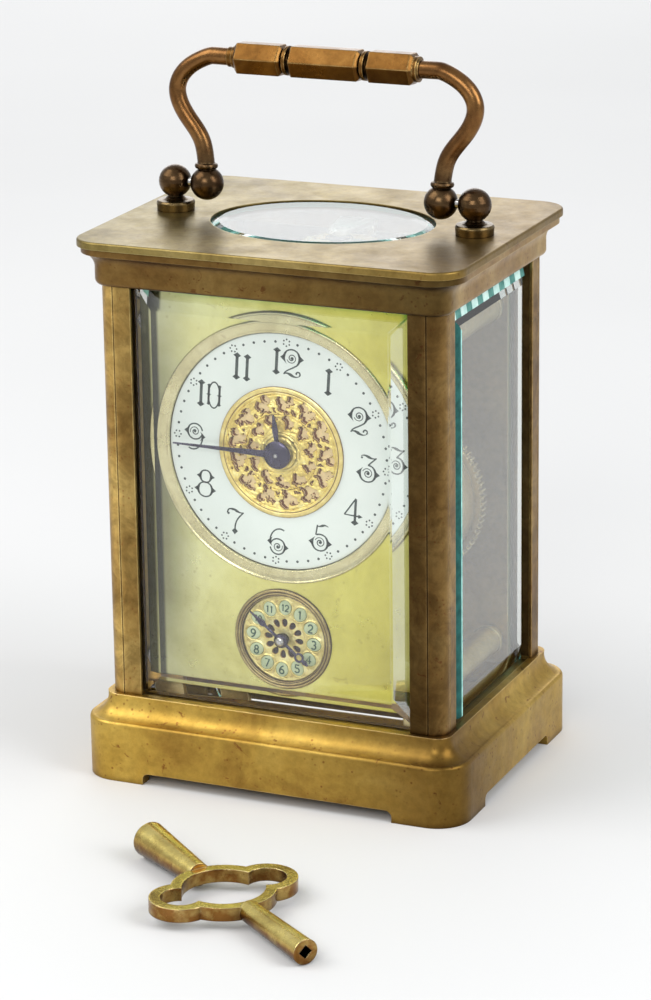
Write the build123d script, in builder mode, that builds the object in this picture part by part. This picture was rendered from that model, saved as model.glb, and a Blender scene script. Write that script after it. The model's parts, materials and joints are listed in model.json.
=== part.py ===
from build123d import *
import os
from math import atan2, cos, degrees, pi, radians, sin

# Travel alarm clock: a glazed brass carriage case with a folding handle, an eight-day lever
# movement with an alarm train, and its loose double-ended winding key.
# Millimetres. X is to the right seen from the dial, Y is from the dial to the back door, Z is up.
# The origin is the middle of the four bracket feet, on the surface that the clock stands on.

# ---------------------------------------------------------------- driving dimensions
BODY_W, BODY_D = 72.4, 55.4  # outside faces of the four corner columns
BASE_W, BASE_D, BASE_CORNER = 82.0, 65.2, 7.0
BASE_BLOCK_H = 12.6  # top of the plain block of the base
BASE_H = 17.2  # top of the cove, where the columns stand
COLUMN_TOP = 101.4
CORNICE_TOP = 109.4
PLATE_TOP = 110.9
CORNICE_W, CORNICE_D, CORNICE_CORNER = BODY_W + 7.6, BODY_D + 7.6, 6.6
PLATE_W, PLATE_D, PLATE_CORNER = 80.8, 64.2, 6.2

WINDOW_X = 29.1  # half width of the front and back windows, between columns
WINDOW_Y = 21.2  # half depth of the side windows
GLASS_T = 3.2
GLASS_BEVEL = 4.9
GLASS_EDGE = 1.2  # glass left at the thin edge of a bevel
SLOT = 0.8  # how far a glass sits in the column slots
PLAY = 0.05  # fit of a glass in its slot
FRONT_GLASS_Y = -26.95  # outer face of the front glass
SIDE_GLASS_X = 35.45  # outer face of the side glasses
SCREW_X, SCREW_Y = 33.0, 24.5  # axis of each column

HANDLE_Z = 116.7  # pivot axis of the handle, along X
POST_X, POST_BALL = 32.0, 3.3
ARM_X, ARM_BALL = 25.0, 3.35
ARM_R = 1.72
HANDLE_LEAN = 4.3  # degrees that the handle leans back at rest
GRIP_Z, GRIP_HALF, GRIP_FLATS = 142.1, 20.3, 6.0
PIVOT_R = 0.9

DIAL_Z = 69.6  # centre of the time dial and of the centre arbor
ALARM_Z = 31.2  # centre of the alarm dial and of the alarm setting arbor
MASK_Y, MASK_T = -21.1, 1.0
DIAL_R, BEZEL_R, GILT_R = 24.0, 26.6, 13.3
ALARM_BEZEL_R, ALARM_DIAL_R = 10.4, 8.9

PLATE_X = 30.4  # half width of the movement plates
PLATE_HIGH = 97.0
PLATE_FRONT_Y, PLATE_BACK_Y, PLATE_T = -17.6, 16.0, 1.6
INNER = 16.0  # half the space between the movement plates
PILLAR_X, PILLAR_LOW, PILLAR_HIGH, PILLAR_R = 27.0, 22.9, 93.0, 2.9

SQUARE_END = 23.0  # back end of the winding and setting squares
RUN = 0.05  # radial clearance of a turning arbor
TIME_ARBOR_R, ALARM_ARBOR_R, SET_R, CENTRE_R, FRONT_CENTRE_R, PIVOT = 2.0, 1.8, 0.9, 1.0, 0.6, 0.45

HOUR_ANGLE, MINUTE_ANGLE, ALARM_ANGLE = 353.4, 270.5, 309.0  # clockwise from twelve

# Wheels: number of teeth and module. The barrel turns the centre pinion, the centre wheel the
# third pinion, the third wheel the contrate pinion.
BARREL_TEETH, CENTRE_LEAVES, BARREL_M = 80, 12, 0.42
CENTRE_TEETH, THIRD_LEAVES, CENTRE_M = 64, 8, 0.36
THIRD_TEETH, CONTRATE_LEAVES, THIRD_M = 60, 8, 0.33
CANNON_LEAVES, MINUTE_TEETH, CANNON_M = 12, 36, 0.25
MINUTE_LEAVES, HOUR_TEETH, HOUR_M = 10, 40, 0.24
ALARM_TEETH, ALARM_LEAVES, ALARM_M = 60, 8, 0.36


def along(start, angle, teeth_a, teeth_b, module):
    """Centre of a wheel that meshes with the one at start, in the direction angle."""
    reach = (teeth_a + teeth_b) / 2 * module
    return start[0] + reach * cos(radians(angle)), start[1] + reach * sin(radians(angle))


CENTRE = (0.0, DIAL_Z)
BARREL_DIR, THIRD_DIR, CONTRATE_DIR, MINUTE_DIR, ALARM_DIR = -47.7, 135.0, 35.27, 180.0, 110.0
BARREL = along(CENTRE, BARREL_DIR, BARREL_TEETH, CENTRE_LEAVES, BARREL_M)
THIRD = along(CENTRE, THIRD_DIR, CENTRE_TEETH, THIRD_LEAVES, CENTRE_M)
CONTRATE = along(THIRD, CONTRATE_DIR, THIRD_TEETH, CONTRATE_LEAVES, THIRD_M)
MOTION = along(CENTRE, MINUTE_DIR, CANNON_LEAVES, MINUTE_TEETH, CANNON_M)
ALARM_BARREL = (-13.0, 40.0)
ALARM_ESCAPE = along(ALARM_BARREL, ALARM_DIR, ALARM_TEETH, ALARM_LEAVES, ALARM_M)
ALARM_SET = (0.0, ALARM_Z)
BELL = (-15.5, 79.0)
BELL_R = 10.5
HAMMER = (-24.5, 58.0)
CLICK = (22.0, 59.6)
ESCAPE_Y, BALANCE_Y = -3.95, 8.0  # upright arbors of the platform, at X = 0
PLATFORM_Z, PLATFORM_T = PLATE_HIGH, 1.2

os.makedirs("parts", exist_ok=True)


# ---------------------------------------------------------------- helpers
def save(builder, name):
    """Label a finished piece and write it as its own STEP file."""
    builder.part.label = name
    export_step(builder.part, f"parts/{name}.step")


def facing(y):
    """Sketch plane at depth y that faces the front: its axes are X and Z."""
    return Plane.XZ.offset(-y)


def turned(profile, centre):
    """Solid turned about a line along Y through centre, from (y, radius) points."""
    x, z = centre
    points = [(profile[0][0], 0), *profile, (profile[-1][0], 0)]
    with BuildPart() as body:
        with BuildSketch(Plane(origin=(x, 0, z), x_dir=(0, 1, 0), z_dir=(1, 0, 0))):
            Polygon(*points, align=None)
        revolve(axis=Axis((x, 0, z), (0, 1, 0)))
    return body.part


def spun(profile, x, y):
    """Solid turned about an upright line at x, y, from (radius, z) points."""
    points = [(0, profile[0][1]), *profile, (0, profile[-1][1])]
    with BuildPart() as body:
        with BuildSketch(Plane(origin=(x, y, 0), x_dir=(1, 0, 0), z_dir=(0, -1, 0))):
            Polygon(*points, align=None)
        revolve(axis=Axis((x, y, 0), (0, 0, 1)))
    return body.part


def steps(*spans):
    """(y, radius) points of a stepped shaft from (y_start, y_end, radius) spans."""
    return [point for start, end, r in spans for point in ((start, r), (end, r))]


def square_end(centre, across, start, end):
    """Square winding end of an arbor."""
    with BuildPart() as end_piece:
        with BuildSketch(facing(end)):
            with Locations(centre):
                Rectangle(across, across)
        extrude(amount=end - start)
    return end_piece.part


def gear(centre, teeth, module, phase, front, back, bore=0.0, spokes=0, rim=0.0, hub=0.0):
    """Flat toothed wheel between two depths, with a tooth in the direction phase.

    The teeth are slim and short, so that wheels in mesh run with play.
    """
    pitch_r = teeth * module / 2
    root, tip = pitch_r - 0.9 * module, pitch_r + 0.5 * module
    step = 360 / teeth
    outline = []
    for i in range(teeth):
        for r, share in ((root, -0.25), (tip, -0.12), (tip, 0.12), (root, 0.25)):
            a = radians(phase + (i + share) * step)
            outline.append((r * cos(a), r * sin(a)))
    with BuildPart() as wheel:
        with BuildSketch(facing(back)):
            with Locations(centre):
                Polygon(*outline, align=None)
                if bore:
                    Circle(bore, mode=Mode.SUBTRACT)
        extrude(amount=back - front)
        if spokes:
            with BuildSketch(facing(back)):
                with Locations(centre):
                    Circle(root - rim)
                    Circle(hub, mode=Mode.SUBTRACT)
                    for i in range(spokes):
                        Rectangle(root, rim, rotation=i * 360 / spokes, mode=Mode.SUBTRACT,
                                  align=(Align.MIN, Align.CENTER))
            extrude(amount=back - front, mode=Mode.SUBTRACT)
    return wheel.part


def in_mesh(phase, teeth, direction, other_teeth):
    """Phase of a wheel so that its gaps meet the teeth of the wheel it stands beside."""
    return direction + 180 + 180 / other_teeth - (phase - direction) * teeth / other_teeth


# ---------------------------------------------------------------- base
base_path = RectangleRounded(BASE_W, BASE_D, BASE_CORNER).wire()
base_out = (base_path % 0).cross(Vector(0, 0, 1))
with BuildPart() as base_cove:
    # The metal taken off above the block: a soft edge, then a hollow cove up to the columns.
    with BuildSketch(Plane(base_path @ 0, x_dir=base_out, z_dir=base_out.cross(Vector(0, 0, 1)))):
        with BuildLine():
            Polyline((0, BASE_BLOCK_H - 0.8), (1, BASE_BLOCK_H - 0.8), (1, BASE_H + 1),
                     (-3.8, BASE_H + 1), (-3.8, BASE_H))
            ThreePointArc((-3.8, BASE_H), (-2.92, BASE_BLOCK_H + 1.35), (-0.8, BASE_BLOCK_H))
            ThreePointArc((-0.8, BASE_BLOCK_H), (-0.234, BASE_BLOCK_H - 0.234), (0, BASE_BLOCK_H - 0.8))
        make_face()
    sweep(path=base_path)


def foot_arch(half, depth, plane):
    """The low opening between two bracket feet, with a quarter-round step at each foot."""
    with BuildPart() as arch:
        with BuildSketch(plane):
            with BuildLine():
                Polyline((half - 1.3, 2.4), (-half + 1.3, 2.4))
                ThreePointArc((-half + 1.3, 2.4), (-half + 0.38, 2.02), (-half, 1.1))
                Polyline((-half, 1.1), (-half, -1), (half, -1), (half, 1.1))
                ThreePointArc((half, 1.1), (half - 0.38, 2.02), (half - 1.3, 2.4))
            make_face()
        extrude(amount=depth, both=True)
    return arch.part


CAVITY_H = 10.5  # the base is a shell below this height
HINGE_X, HINGE_Y, HINGE_R = 27.3, 26.2, 0.8
COLUMN_AXES = [(sx * SCREW_X, sy * SCREW_Y) for sx in (-1, 1) for sy in (-1, 1)]
front_arch = foot_arch(27.0, BASE_D, Plane.XZ)
side_arch = foot_arch(17.8, BASE_W, Plane.YZ)

with BuildPart() as base_plinth:
    with BuildSketch():
        RectangleRounded(BASE_W, BASE_D, BASE_CORNER)
    extrude(amount=BASE_H)
    add(base_cove.part, mode=Mode.SUBTRACT)
    with BuildSketch():
        RectangleRounded(BASE_W - 6, BASE_D - 6, BASE_CORNER - 3)
    extrude(amount=CAVITY_H, mode=Mode.SUBTRACT)
    with BuildSketch():
        RectangleRounded(56, 42, 3)
    extrude(amount=BASE_H, mode=Mode.SUBTRACT)
    add(front_arch, mode=Mode.SUBTRACT)
    add(side_arch, mode=Mode.SUBTRACT)
    # slots for the glasses
    with Locations((0, FRONT_GLASS_Y + GLASS_T / 2, BASE_H)):
        Box(2 * (WINDOW_X + SLOT + PLAY), GLASS_T + 2 * PLAY, 1.3, mode=Mode.SUBTRACT)
    with Locations(*[(s * (SIDE_GLASS_X - GLASS_T / 2), 0, BASE_H) for s in (-1, 1)]):
        Box(GLASS_T + 2 * PLAY, 2 * (WINDOW_Y + SLOT + PLAY), 1.3, mode=Mode.SUBTRACT)
    # column screws and the lower hinge pin
    with Locations(*[(x, y, CAVITY_H) for x, y in COLUMN_AXES]):
        Cylinder(1.3, 20, mode=Mode.SUBTRACT)
    with Locations((HINGE_X, HINGE_Y, BASE_H)):
        Cylinder(HINGE_R, 5, mode=Mode.SUBTRACT)
save(base_plinth, "base_plinth")

with BuildPart() as bottom_plate:
    with BuildSketch(Plane.XY.offset(CAVITY_H - 1.5)):
        RectangleRounded(72, 55, 3)
        with Locations(*COLUMN_AXES):
            Circle(1.3, mode=Mode.SUBTRACT)
    extrude(amount=1.5)
save(bottom_plate, "bottom_plate")


# ---------------------------------------------------------------- columns
def make_column(name, sx, sy, front_slot):
    """Corner column: a quarter-round edge between two flats, with slots for the glasses."""
    bx, by = BODY_W / 2, BODY_D / 2
    arc_x, arc_y, nick = bx - 3.2, by - 3.2, 0.3
    mid = 3.2 * (1 - cos(pi / 4))
    gx0, gx1 = SIDE_GLASS_X - GLASS_T - PLAY, SIDE_GLASS_X + PLAY
    gy0, gy1 = -FRONT_GLASS_Y - GLASS_T - PLAY, -FRONT_GLASS_Y + PLAY
    slot = SLOT + PLAY
    run = [(arc_x, by), (arc_x - nick / 2, by - nick), (arc_x - nick, by), (WINDOW_X, by)]
    if front_slot:
        run += [(WINDOW_X, gy1), (WINDOW_X + slot, gy1), (WINDOW_X + slot, gy0), (WINDOW_X, gy0)]
    run += [(WINDOW_X, WINDOW_Y + 1.4), (WINDOW_X + 1.4, WINDOW_Y), (gx0, WINDOW_Y)]
    run += [(gx0, WINDOW_Y + slot), (gx1, WINDOW_Y + slot), (gx1, WINDOW_Y), (bx, WINDOW_Y)]
    run += [(bx, arc_y - nick), (bx - nick, arc_y - nick / 2), (bx, arc_y)]
    arc = [(bx, arc_y), (bx - mid, by - mid), (arc_x, by)]
    with BuildPart() as column:
        with BuildSketch(Plane.XY.offset(BASE_H)):
            with BuildLine():
                Polyline(*[(sx * x, sy * y) for x, y in run])
                ThreePointArc(*[(sx * x, sy * y) for x, y in arc])
            make_face()
        extrude(amount=COLUMN_TOP - BASE_H)
        with Locations(*[(sx * SCREW_X, sy * SCREW_Y, z) for z in (BASE_H, COLUMN_TOP)]):
            Cylinder(1.25, 20, mode=Mode.SUBTRACT)
    save(column, name)


make_column("column_front_left", -1, -1, True)
make_column("column_front_right", 1, -1, True)
make_column("column_rear_left", -1, 1, False)
make_column("column_rear_right", 1, 1, False)

# ---------------------------------------------------------------- cornice and top
cornice_path = RectangleRounded(CORNICE_W, CORNICE_D, CORNICE_CORNER).wire()
cornice_out = (cornice_path % 0).cross(Vector(0, 0, 1))
with BuildPart() as cornice_cove:
    # Metal taken off under the fascia: a cove, a plain band and a small roll at the columns.
    with BuildSketch(Plane(cornice_path @ 0, x_dir=cornice_out,
                           z_dir=cornice_out.cross(Vector(0, 0, 1)))):
        with BuildLine():
            Polyline((0, COLUMN_TOP + 6.6), (1, COLUMN_TOP + 6.6), (1, COLUMN_TOP - 1),
                     (-3.8, COLUMN_TOP - 1), (-3.8, COLUMN_TOP))
            ThreePointArc((-3.8, COLUMN_TOP), (-2.95, COLUMN_TOP + 0.35), (-2.6, COLUMN_TOP + 1.2))
            Line((-2.6, COLUMN_TOP + 1.2), (-2.6, COLUMN_TOP + 3.0))
            ThreePointArc((-2.6, COLUMN_TOP + 3.0), (-1.84, COLUMN_TOP + 5.55), (0, COLUMN_TOP + 6.6))
        make_face()
    sweep(path=cornice_path)

with BuildPart() as cornice_frame:
    with BuildSketch(Plane.XY.offset(COLUMN_TOP)):
        RectangleRounded(CORNICE_W, CORNICE_D, CORNICE_CORNER)
        RectangleRounded(62, 46, 2, mode=Mode.SUBTRACT)
    extrude(amount=CORNICE_TOP - COLUMN_TOP)
    add(cornice_cove.part, mode=Mode.SUBTRACT)
    with Locations((0, FRONT_GLASS_Y + GLASS_T / 2, COLUMN_TOP)):
        Box(2 * (WINDOW_X + SLOT + PLAY), GLASS_T + 2 * PLAY, 1.3, mode=Mode.SUBTRACT)
    with Locations(*[(s * (SIDE_GLASS_X - GLASS_T / 2), 0, COLUMN_TOP) for s in (-1, 1)]):
        Box(GLASS_T + 2 * PLAY, 2 * (WINDOW_Y + SLOT + PLAY), 1.3, mode=Mode.SUBTRACT)
    with Locations(*[(x, y, CORNICE_TOP) for x, y in COLUMN_AXES]):
        Cylinder(1.3, 20, mode=Mode.SUBTRACT)
        Cylinder(2.3, 5, mode=Mode.SUBTRACT)
    with Locations((HINGE_X, HINGE_Y, COLUMN_TOP)):
        Cylinder(HINGE_R, 5, mode=Mode.SUBTRACT)
    with Locations((-POST_X, 0, CORNICE_TOP), (POST_X, 0, CORNICE_TOP)):
        Cylinder(1.25, 12, mode=Mode.SUBTRACT)
save(cornice_frame, "cornice_frame")

OVAL_X, OVAL_Y = 22.9, 18.3  # half axes of the oval opening in the top plate

with BuildPart() as top_plate:
    with BuildSketch(Plane.XY.offset(CORNICE_TOP)):
        RectangleRounded(PLATE_W, PLATE_D, PLATE_CORNER)
        Ellipse(OVAL_X, OVAL_Y, mode=Mode.SUBTRACT)
        with Locations((-POST_X, 0), (POST_X, 0)):
            Circle(1.25, mode=Mode.SUBTRACT)
    extrude(amount=PLATE_TOP - CORNICE_TOP)
    plate_rims = top_plate.faces().sort_by(Axis.Z)[-1].outer_wire().edges()
    fillet(plate_rims, radius=0.45)
save(top_plate, "top_plate")

with BuildPart() as top_glass:
    # The flange lies under the plate, and the bevelled face stands up through the oval.
    with BuildSketch(Plane.XY.offset(CORNICE_TOP - 1.8)):
        Ellipse(OVAL_X + 1.5, OVAL_Y + 1.5)
    extrude(amount=1.75)
    with BuildSketch(Plane.XY.offset(CORNICE_TOP - 0.05)):
        Ellipse(OVAL_X - 0.2, OVAL_Y - 0.2)
    extrude(amount=0.35)
    with BuildSketch(Plane.XY.offset(CORNICE_TOP + 0.3)):
        Ellipse(OVAL_X - 0.2, OVAL_Y - 0.2)
    with BuildSketch(Plane.XY.offset(PLATE_TOP - 0.05)):
        Ellipse(OVAL_X - 3.0, OVAL_Y - 3.0)
    loft()
save(top_glass, "top_glass")


# ---------------------------------------------------------------- upright glasses
def bevelled_glass(name, outer, inward, half, low, high):
    """Upright glass with a broad bevel all round its outer face.

    outer is the plane of the outer face, whose second axis is Z; half is half the width.
    """
    mid, height = (low + high) / 2, high - low
    back = outer.offset(-GLASS_T if inward else GLASS_T)
    edge = outer.offset(-(GLASS_T - GLASS_EDGE) if inward else (GLASS_T - GLASS_EDGE))
    with BuildPart() as glass:
        with BuildSketch(back):
            with Locations((0, mid)):
                Rectangle(2 * half, height)
        extrude(amount=GLASS_EDGE if inward else -GLASS_EDGE)
        with BuildSketch(edge):
            with Locations((0, mid)):
                Rectangle(2 * half, height)
        with BuildSketch(outer):
            with Locations((0, mid)):
                Rectangle(2 * (half - GLASS_BEVEL), height - 2 * GLASS_BEVEL)
        loft(ruled=True)
    save(glass, name)


GLASS_LOW, GLASS_HIGH = BASE_H - 0.6, COLUMN_TOP + 0.6
bevelled_glass("front_glass", facing(FRONT_GLASS_Y), True, WINDOW_X + SLOT, GLASS_LOW, GLASS_HIGH)
bevelled_glass("right_glass", Plane.YZ.offset(SIDE_GLASS_X), True, WINDOW_Y + SLOT, GLASS_LOW, GLASS_HIGH)
bevelled_glass("left_glass", Plane.YZ.offset(-SIDE_GLASS_X), False, WINDOW_Y + SLOT, GLASS_LOW, GLASS_HIGH)

# ---------------------------------------------------------------- column screws
with BuildPart() as column_screws:
    for x, y in COLUMN_AXES:
        low, high = CAVITY_H - 1.5, CORNICE_TOP - 2.5
        add(spun([(2.1, low - 1.6), (2.1, low), (1.2, low), (1.2, low + 16)], x, y))
        add(spun([(1.2, high - 14), (1.2, high), (2.1, high), (2.1, high + 1.6)], x, y))
    with Locations(*[(x, y, z) for x, y in COLUMN_AXES for z in (CAVITY_H - 3.1, CORNICE_TOP - 0.9)]):
        Box(5, 0.6, 1.2, mode=Mode.SUBTRACT)
save(column_screws, "column_screws")

# ---------------------------------------------------------------- back door
DOOR_LOW, DOOR_HIGH = BASE_H + 0.5, COLUMN_TOP - 0.5
DOOR_HALF = HINGE_X + 1.5
DOOR_Y, DOOR_T = 24.7, 3.0
door_mid, door_high = (DOOR_LOW + DOOR_HIGH) / 2, DOOR_HIGH - DOOR_LOW

with BuildPart() as rear_door_frame:
    with BuildSketch(facing(DOOR_Y + DOOR_T)):
        with Locations((0, door_mid)):
            Rectangle(2 * DOOR_HALF, door_high)
            Rectangle(2 * DOOR_HALF - 11, door_high - 11, mode=Mode.SUBTRACT)
    extrude(amount=DOOR_T)
    hinge_edges = rear_door_frame.edges().filter_by(Axis.Z).group_by(Axis.X)[-1]
    fillet(hinge_edges, radius=1.45)
    # rebate for the glass, from inside
    with BuildSketch(facing(DOOR_Y + 2.0)):
        with Locations((0, door_mid)):
            Rectangle(2 * DOOR_HALF - 8.6, door_high - 8.6)
    extrude(amount=2.0, mode=Mode.SUBTRACT)
    with Locations((HINGE_X, HINGE_Y, DOOR_LOW), (HINGE_X, HINGE_Y, DOOR_HIGH)):
        Cylinder(HINGE_R + RUN, 5.4, mode=Mode.SUBTRACT)
    with Locations(Location((-26.2, DOOR_Y + DOOR_T, door_mid), (90, 0, 0))):
        Cylinder(0.8, 3.0, mode=Mode.SUBTRACT)
save(rear_door_frame, "rear_door_frame")

with BuildPart() as rear_door_glass:
    with BuildSketch(facing(DOOR_Y + 1.95)):
        with Locations((0, door_mid)):
            Rectangle(2 * DOOR_HALF - 8.8, door_high - 8.8)
    extrude(amount=1.85)
save(rear_door_glass, "rear_door_glass")

with BuildPart() as door_hinge_pins:
    with Locations((HINGE_X, HINGE_Y, BASE_H + 0.1), (HINGE_X, HINGE_Y, COLUMN_TOP - 0.1)):
        Cylinder(HINGE_R, 4.8)
save(door_hinge_pins, "door_hinge_pins")

door_knob_shape = [(26.3, 0.75), (27.7, 0.75), (27.7, 1.7), (28.1, 1.7), (28.5, 0.95), (29.2, 0.95),
                   (29.7, 1.7), (30.3, 2.2), (30.9, 2.1), (31.4, 1.4), (31.6, 0.6)]
with BuildPart() as door_knob:
    add(turned(door_knob_shape, (-26.2, door_mid)))
save(door_knob, "door_knob")


# ---------------------------------------------------------------- handle
PIVOT_MID, PIVOT_LONG = (POST_X + ARM_X) / 2, 9.0  # middle and length of each hidden pivot screw


def lean_back(part):
    return part.rotate(Axis((0, 0, HANDLE_Z), (1, 0, 0)), -HANDLE_LEAN)


def make_post(name, side):
    """Turned post with a ball that carries one end of the handle."""
    x, ball = side * POST_X, []
    for i in range(13):
        a = radians(-63 + i * 153 / 12)
        ball.append((POST_BALL * cos(a), HANDLE_Z + POST_BALL * sin(a)))
    foot = [(1.2, 104.0), (1.2, PLATE_TOP), (3.75, PLATE_TOP), (3.85, PLATE_TOP + 1.6), (3.6, PLATE_TOP + 2.0)]
    neck = [(2.6, PLATE_TOP + 2.1), (2.1, PLATE_TOP + 2.35)]
    with BuildPart() as post:
        add(spun(foot + neck + ball[:-1] + [(0.01, HANDLE_Z + POST_BALL)], x, 0))
        with Locations(Location((side * PIVOT_MID, 0, HANDLE_Z), (0, 90, 0))):
            Cylinder(PIVOT_R, PIVOT_LONG, mode=Mode.SUBTRACT)
    save(post, name)


def make_arm(name, side):
    """S-curved arm of the handle, with the ball and collar at its foot."""
    x = side * ARM_X
    bends = [(25.15, 120.0), (26.2, 125.2), (30.0, 130.6), (31.65, 135.2), (29.2, 139.6), (25.0, 141.9)]
    end = (GRIP_HALF, GRIP_Z)
    with BuildPart() as arm:
        with BuildLine(Plane.XZ) as route:
            Spline(*[(side * px, pz) for px, pz in bends], (side * end[0], end[1]),
                   tangents=((side * 0.12, 1), (-side, 0)))
        with BuildSketch(Plane(origin=route.line @ 0, z_dir=route.line % 0)):
            Circle(ARM_R)
        sweep(path=route.line)
        with Locations((x, 0, HANDLE_Z)):
            Sphere(ARM_BALL)
        collar = [(1.9, 119.6), (2.2, 119.8), (2.35, 120.2), (2.2, 120.6), (1.8, 120.8)]
        add(spun(collar, side * 25.2, 0))
        with Locations(Location((side * PIVOT_MID, 0, HANDLE_Z), (0, 90, 0))):
            Cylinder(PIVOT_R + RUN, PIVOT_LONG + 0.4, mode=Mode.SUBTRACT)
    arm.part = lean_back(arm.part)
    save(arm, name)


for side_name, side in (("left", -1), ("right", 1)):
    make_post(f"handle_post_{side_name}", side)
    make_arm(f"handle_arm_{side_name}", side)

with BuildPart() as handle_pivot_screws:
    for side in (-1, 1):
        with Locations(Location((side * PIVOT_MID, 0, HANDLE_Z), (0, 90, 0))):
            Cylinder(PIVOT_R, PIVOT_LONG)
save(handle_pivot_screws, "handle_pivot_screws")

HEX_R = GRIP_FLATS / 2 / cos(pi / 6)
GRIP_SPANS = [(-18.6, -8.5), (-7.0, 8.0), (9.5, 19.2)]
GRIP_RINGS = [(-7.75, 0.35, 2.9), (8.75, 0.35, 2.9), (19.6, 0.4, 2.5), (-18.9, 0.35, 2.2)]

with BuildPart() as handle_grip:
    with BuildSketch(Plane.YZ.offset(-GRIP_HALF)):
        with Locations((0, GRIP_Z)):
            Circle(2.0)
    extrude(amount=2 * GRIP_HALF)
    for start, end in GRIP_SPANS:
        with BuildSketch(Plane.YZ.offset(start)):
            with Locations((0, GRIP_Z)):
                RegularPolygon(HEX_R, 6, rotation=0)
        extrude(amount=end - start)
    hex_ends = handle_grip.edges().filter_by(
        lambda e: e.geom_type == GeomType.LINE and abs(e.tangent_at(0).X) < 0.1)
    chamfer(hex_ends, length=0.6)
    for centre, half, radius in GRIP_RINGS:
        with BuildSketch(Plane.YZ.offset(centre - half)):
            with Locations((0, GRIP_Z)):
                Circle(radius)
        extrude(amount=2 * half)
handle_grip.part = lean_back(handle_grip.part)
save(handle_grip, "handle_grip")

# ---------------------------------------------------------------- dials
MASK_BACK = MASK_Y + MASK_T
MASK_FEET = [(sx * 22.0, z) for sx in (-1, 1) for z in (26.0, 92.0)]

with BuildPart() as dial_mask:
    with BuildSketch(facing(MASK_BACK)):
        with Locations((0, 60.6)):
            Rectangle(56.8, 80.4)
        with Locations(CENTRE):
            Circle(BEZEL_R - 0.9, mode=Mode.SUBTRACT)
        with Locations(ALARM_SET):
            Circle(9.8, mode=Mode.SUBTRACT)
    extrude(amount=MASK_T)
    with BuildSketch(facing(PLATE_FRONT_Y)):
        with Locations(*MASK_FEET):
            Circle(1.0)
    extrude(amount=PLATE_FRONT_Y - MASK_BACK)
save(dial_mask, "dial_mask")


def ring(inner, outer, centre, front_in, front_out, back):
    """Ring about a line along Y whose front face slopes from front_in to front_out."""
    with BuildPart() as band:
        add(turned([(front_out, outer), (back, outer)], centre))
        with BuildSketch(Plane(origin=(centre[0], 0, centre[1]), x_dir=(0, 1, 0), z_dir=(1, 0, 0))):
            Polygon((front_out - 1, 0), (front_out, outer), (front_in, inner), (back + 1, inner),
                    (back + 1, 0), align=None)
        revolve(axis=Axis((centre[0], 0, centre[1]), (0, 1, 0)), mode=Mode.SUBTRACT)
    return band.part


with BuildPart() as dial_bezel:
    add(ring(DIAL_R + 0.02, BEZEL_R, CENTRE, MASK_Y + 0.35, MASK_Y - 0.45, MASK_Y))
    add(ring(DIAL_R + 0.02, BEZEL_R - 0.95, CENTRE, MASK_Y, MASK_Y, MASK_BACK))
save(dial_bezel, "dial_bezel")

with BuildPart() as enamel_dial:
    with BuildSketch(facing(-19.8)):
        with Locations(CENTRE):
            Circle(DIAL_R)
            Circle(1.7, mode=Mode.SUBTRACT)
    extrude(amount=0.8)
save(enamel_dial, "enamel_dial")

with BuildPart() as gilt_centre:
    with BuildSketch(facing(-20.6)):
        with Locations(CENTRE):
            Circle(GILT_R)
            Circle(1.7, mode=Mode.SUBTRACT)
    extrude(amount=0.4)
save(gilt_centre, "gilt_centre")

with BuildPart() as alarm_bezel:
    add(ring(ALARM_DIAL_R, ALARM_BEZEL_R, ALARM_SET, MASK_Y - 0.2, MASK_Y - 0.65, MASK_Y))
save(alarm_bezel, "alarm_bezel")

with BuildPart() as alarm_dial:
    with BuildSketch(facing(MASK_BACK + 0.2)):
        with Locations(ALARM_SET):
            Circle(9.75)
    extrude(amount=1.15)
    with BuildSketch(facing(MASK_Y + 0.1)):
        with Locations(ALARM_SET):
            Circle(ALARM_DIAL_R - 0.05)
    extrude(amount=0.3)
    with Locations(Location((0, MASK_Y, ALARM_Z), (90, 0, 0))):
        Cylinder(1.05, 5, mode=Mode.SUBTRACT)
save(alarm_dial, "alarm_dial")


# ---------------------------------------------------------------- hands
def clock_angle(angle):
    """Angle in a front-facing sketch of a hand that points clockwise from twelve."""
    return 90 - angle


def make_hand(name, centre, angle, outline, hub, bore, front, back, boss=(), ring_at=None):
    """Flat hand: outline is half of its shape, as (distance, half width) points.

    ring_at is the distance of a ring in its tail, with the ring's outer and inner radii.
    """
    left = [(d, w) for d, w in outline]
    right = [(d, -w) for d, w in reversed(outline)]
    with BuildPart() as hand:
        with BuildSketch(facing(back)):
            with Locations(Location(centre, clock_angle(angle))):
                Polygon(*left, *right, align=None)
            if ring_at:
                with Locations(Location(centre, clock_angle(angle)) * Location((ring_at[0], 0))):
                    Circle(ring_at[1])
                    Circle(ring_at[2], mode=Mode.SUBTRACT)
            with Locations(centre):
                Circle(hub)
                if bore:
                    Circle(bore, mode=Mode.SUBTRACT)
        extrude(amount=back - front)
        if boss:
            add(turned(list(boss), centre))
    save(hand, name)


HOUR_HAND = [(0, 0.9), (3.0, 0.42), (4.6, 0.58), (5.6, 0.5), (7.9, 0.14)]
MINUTE_HAND = [(-1.5, 0.75), (2.5, 0.7), (9, 0.42), (22.4, 0.12)]
ALARM_HAND = [(-7.3, 0.12), (-6.4, 0.5), (-5.7, 0.22), (-4.4, 0.22), (0, 0.35), (4.2, 0.22),
              (5.0, 0.62), (5.7, 0.55), (6.6, 0.24), (8.5, 0.1)]
BOSS = [(-23.45, 0.5), (-23.38, 1.1), (-23.23, 1.7), (-23.02, 2.3), (-22.75, 2.8)]
ALARM_BOSS = [(-23.1, 0.4), (-22.95, 1.0), (-22.7, 1.35), (-22.4, 1.5)]
make_hand("hour_hand", CENTRE, HOUR_ANGLE, HOUR_HAND, 2.4, 1.46, -22.2, -21.85)
make_hand("minute_hand", CENTRE, MINUTE_ANGLE, MINUTE_HAND, 2.8, 0, -22.75, -22.4, BOSS)
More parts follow.
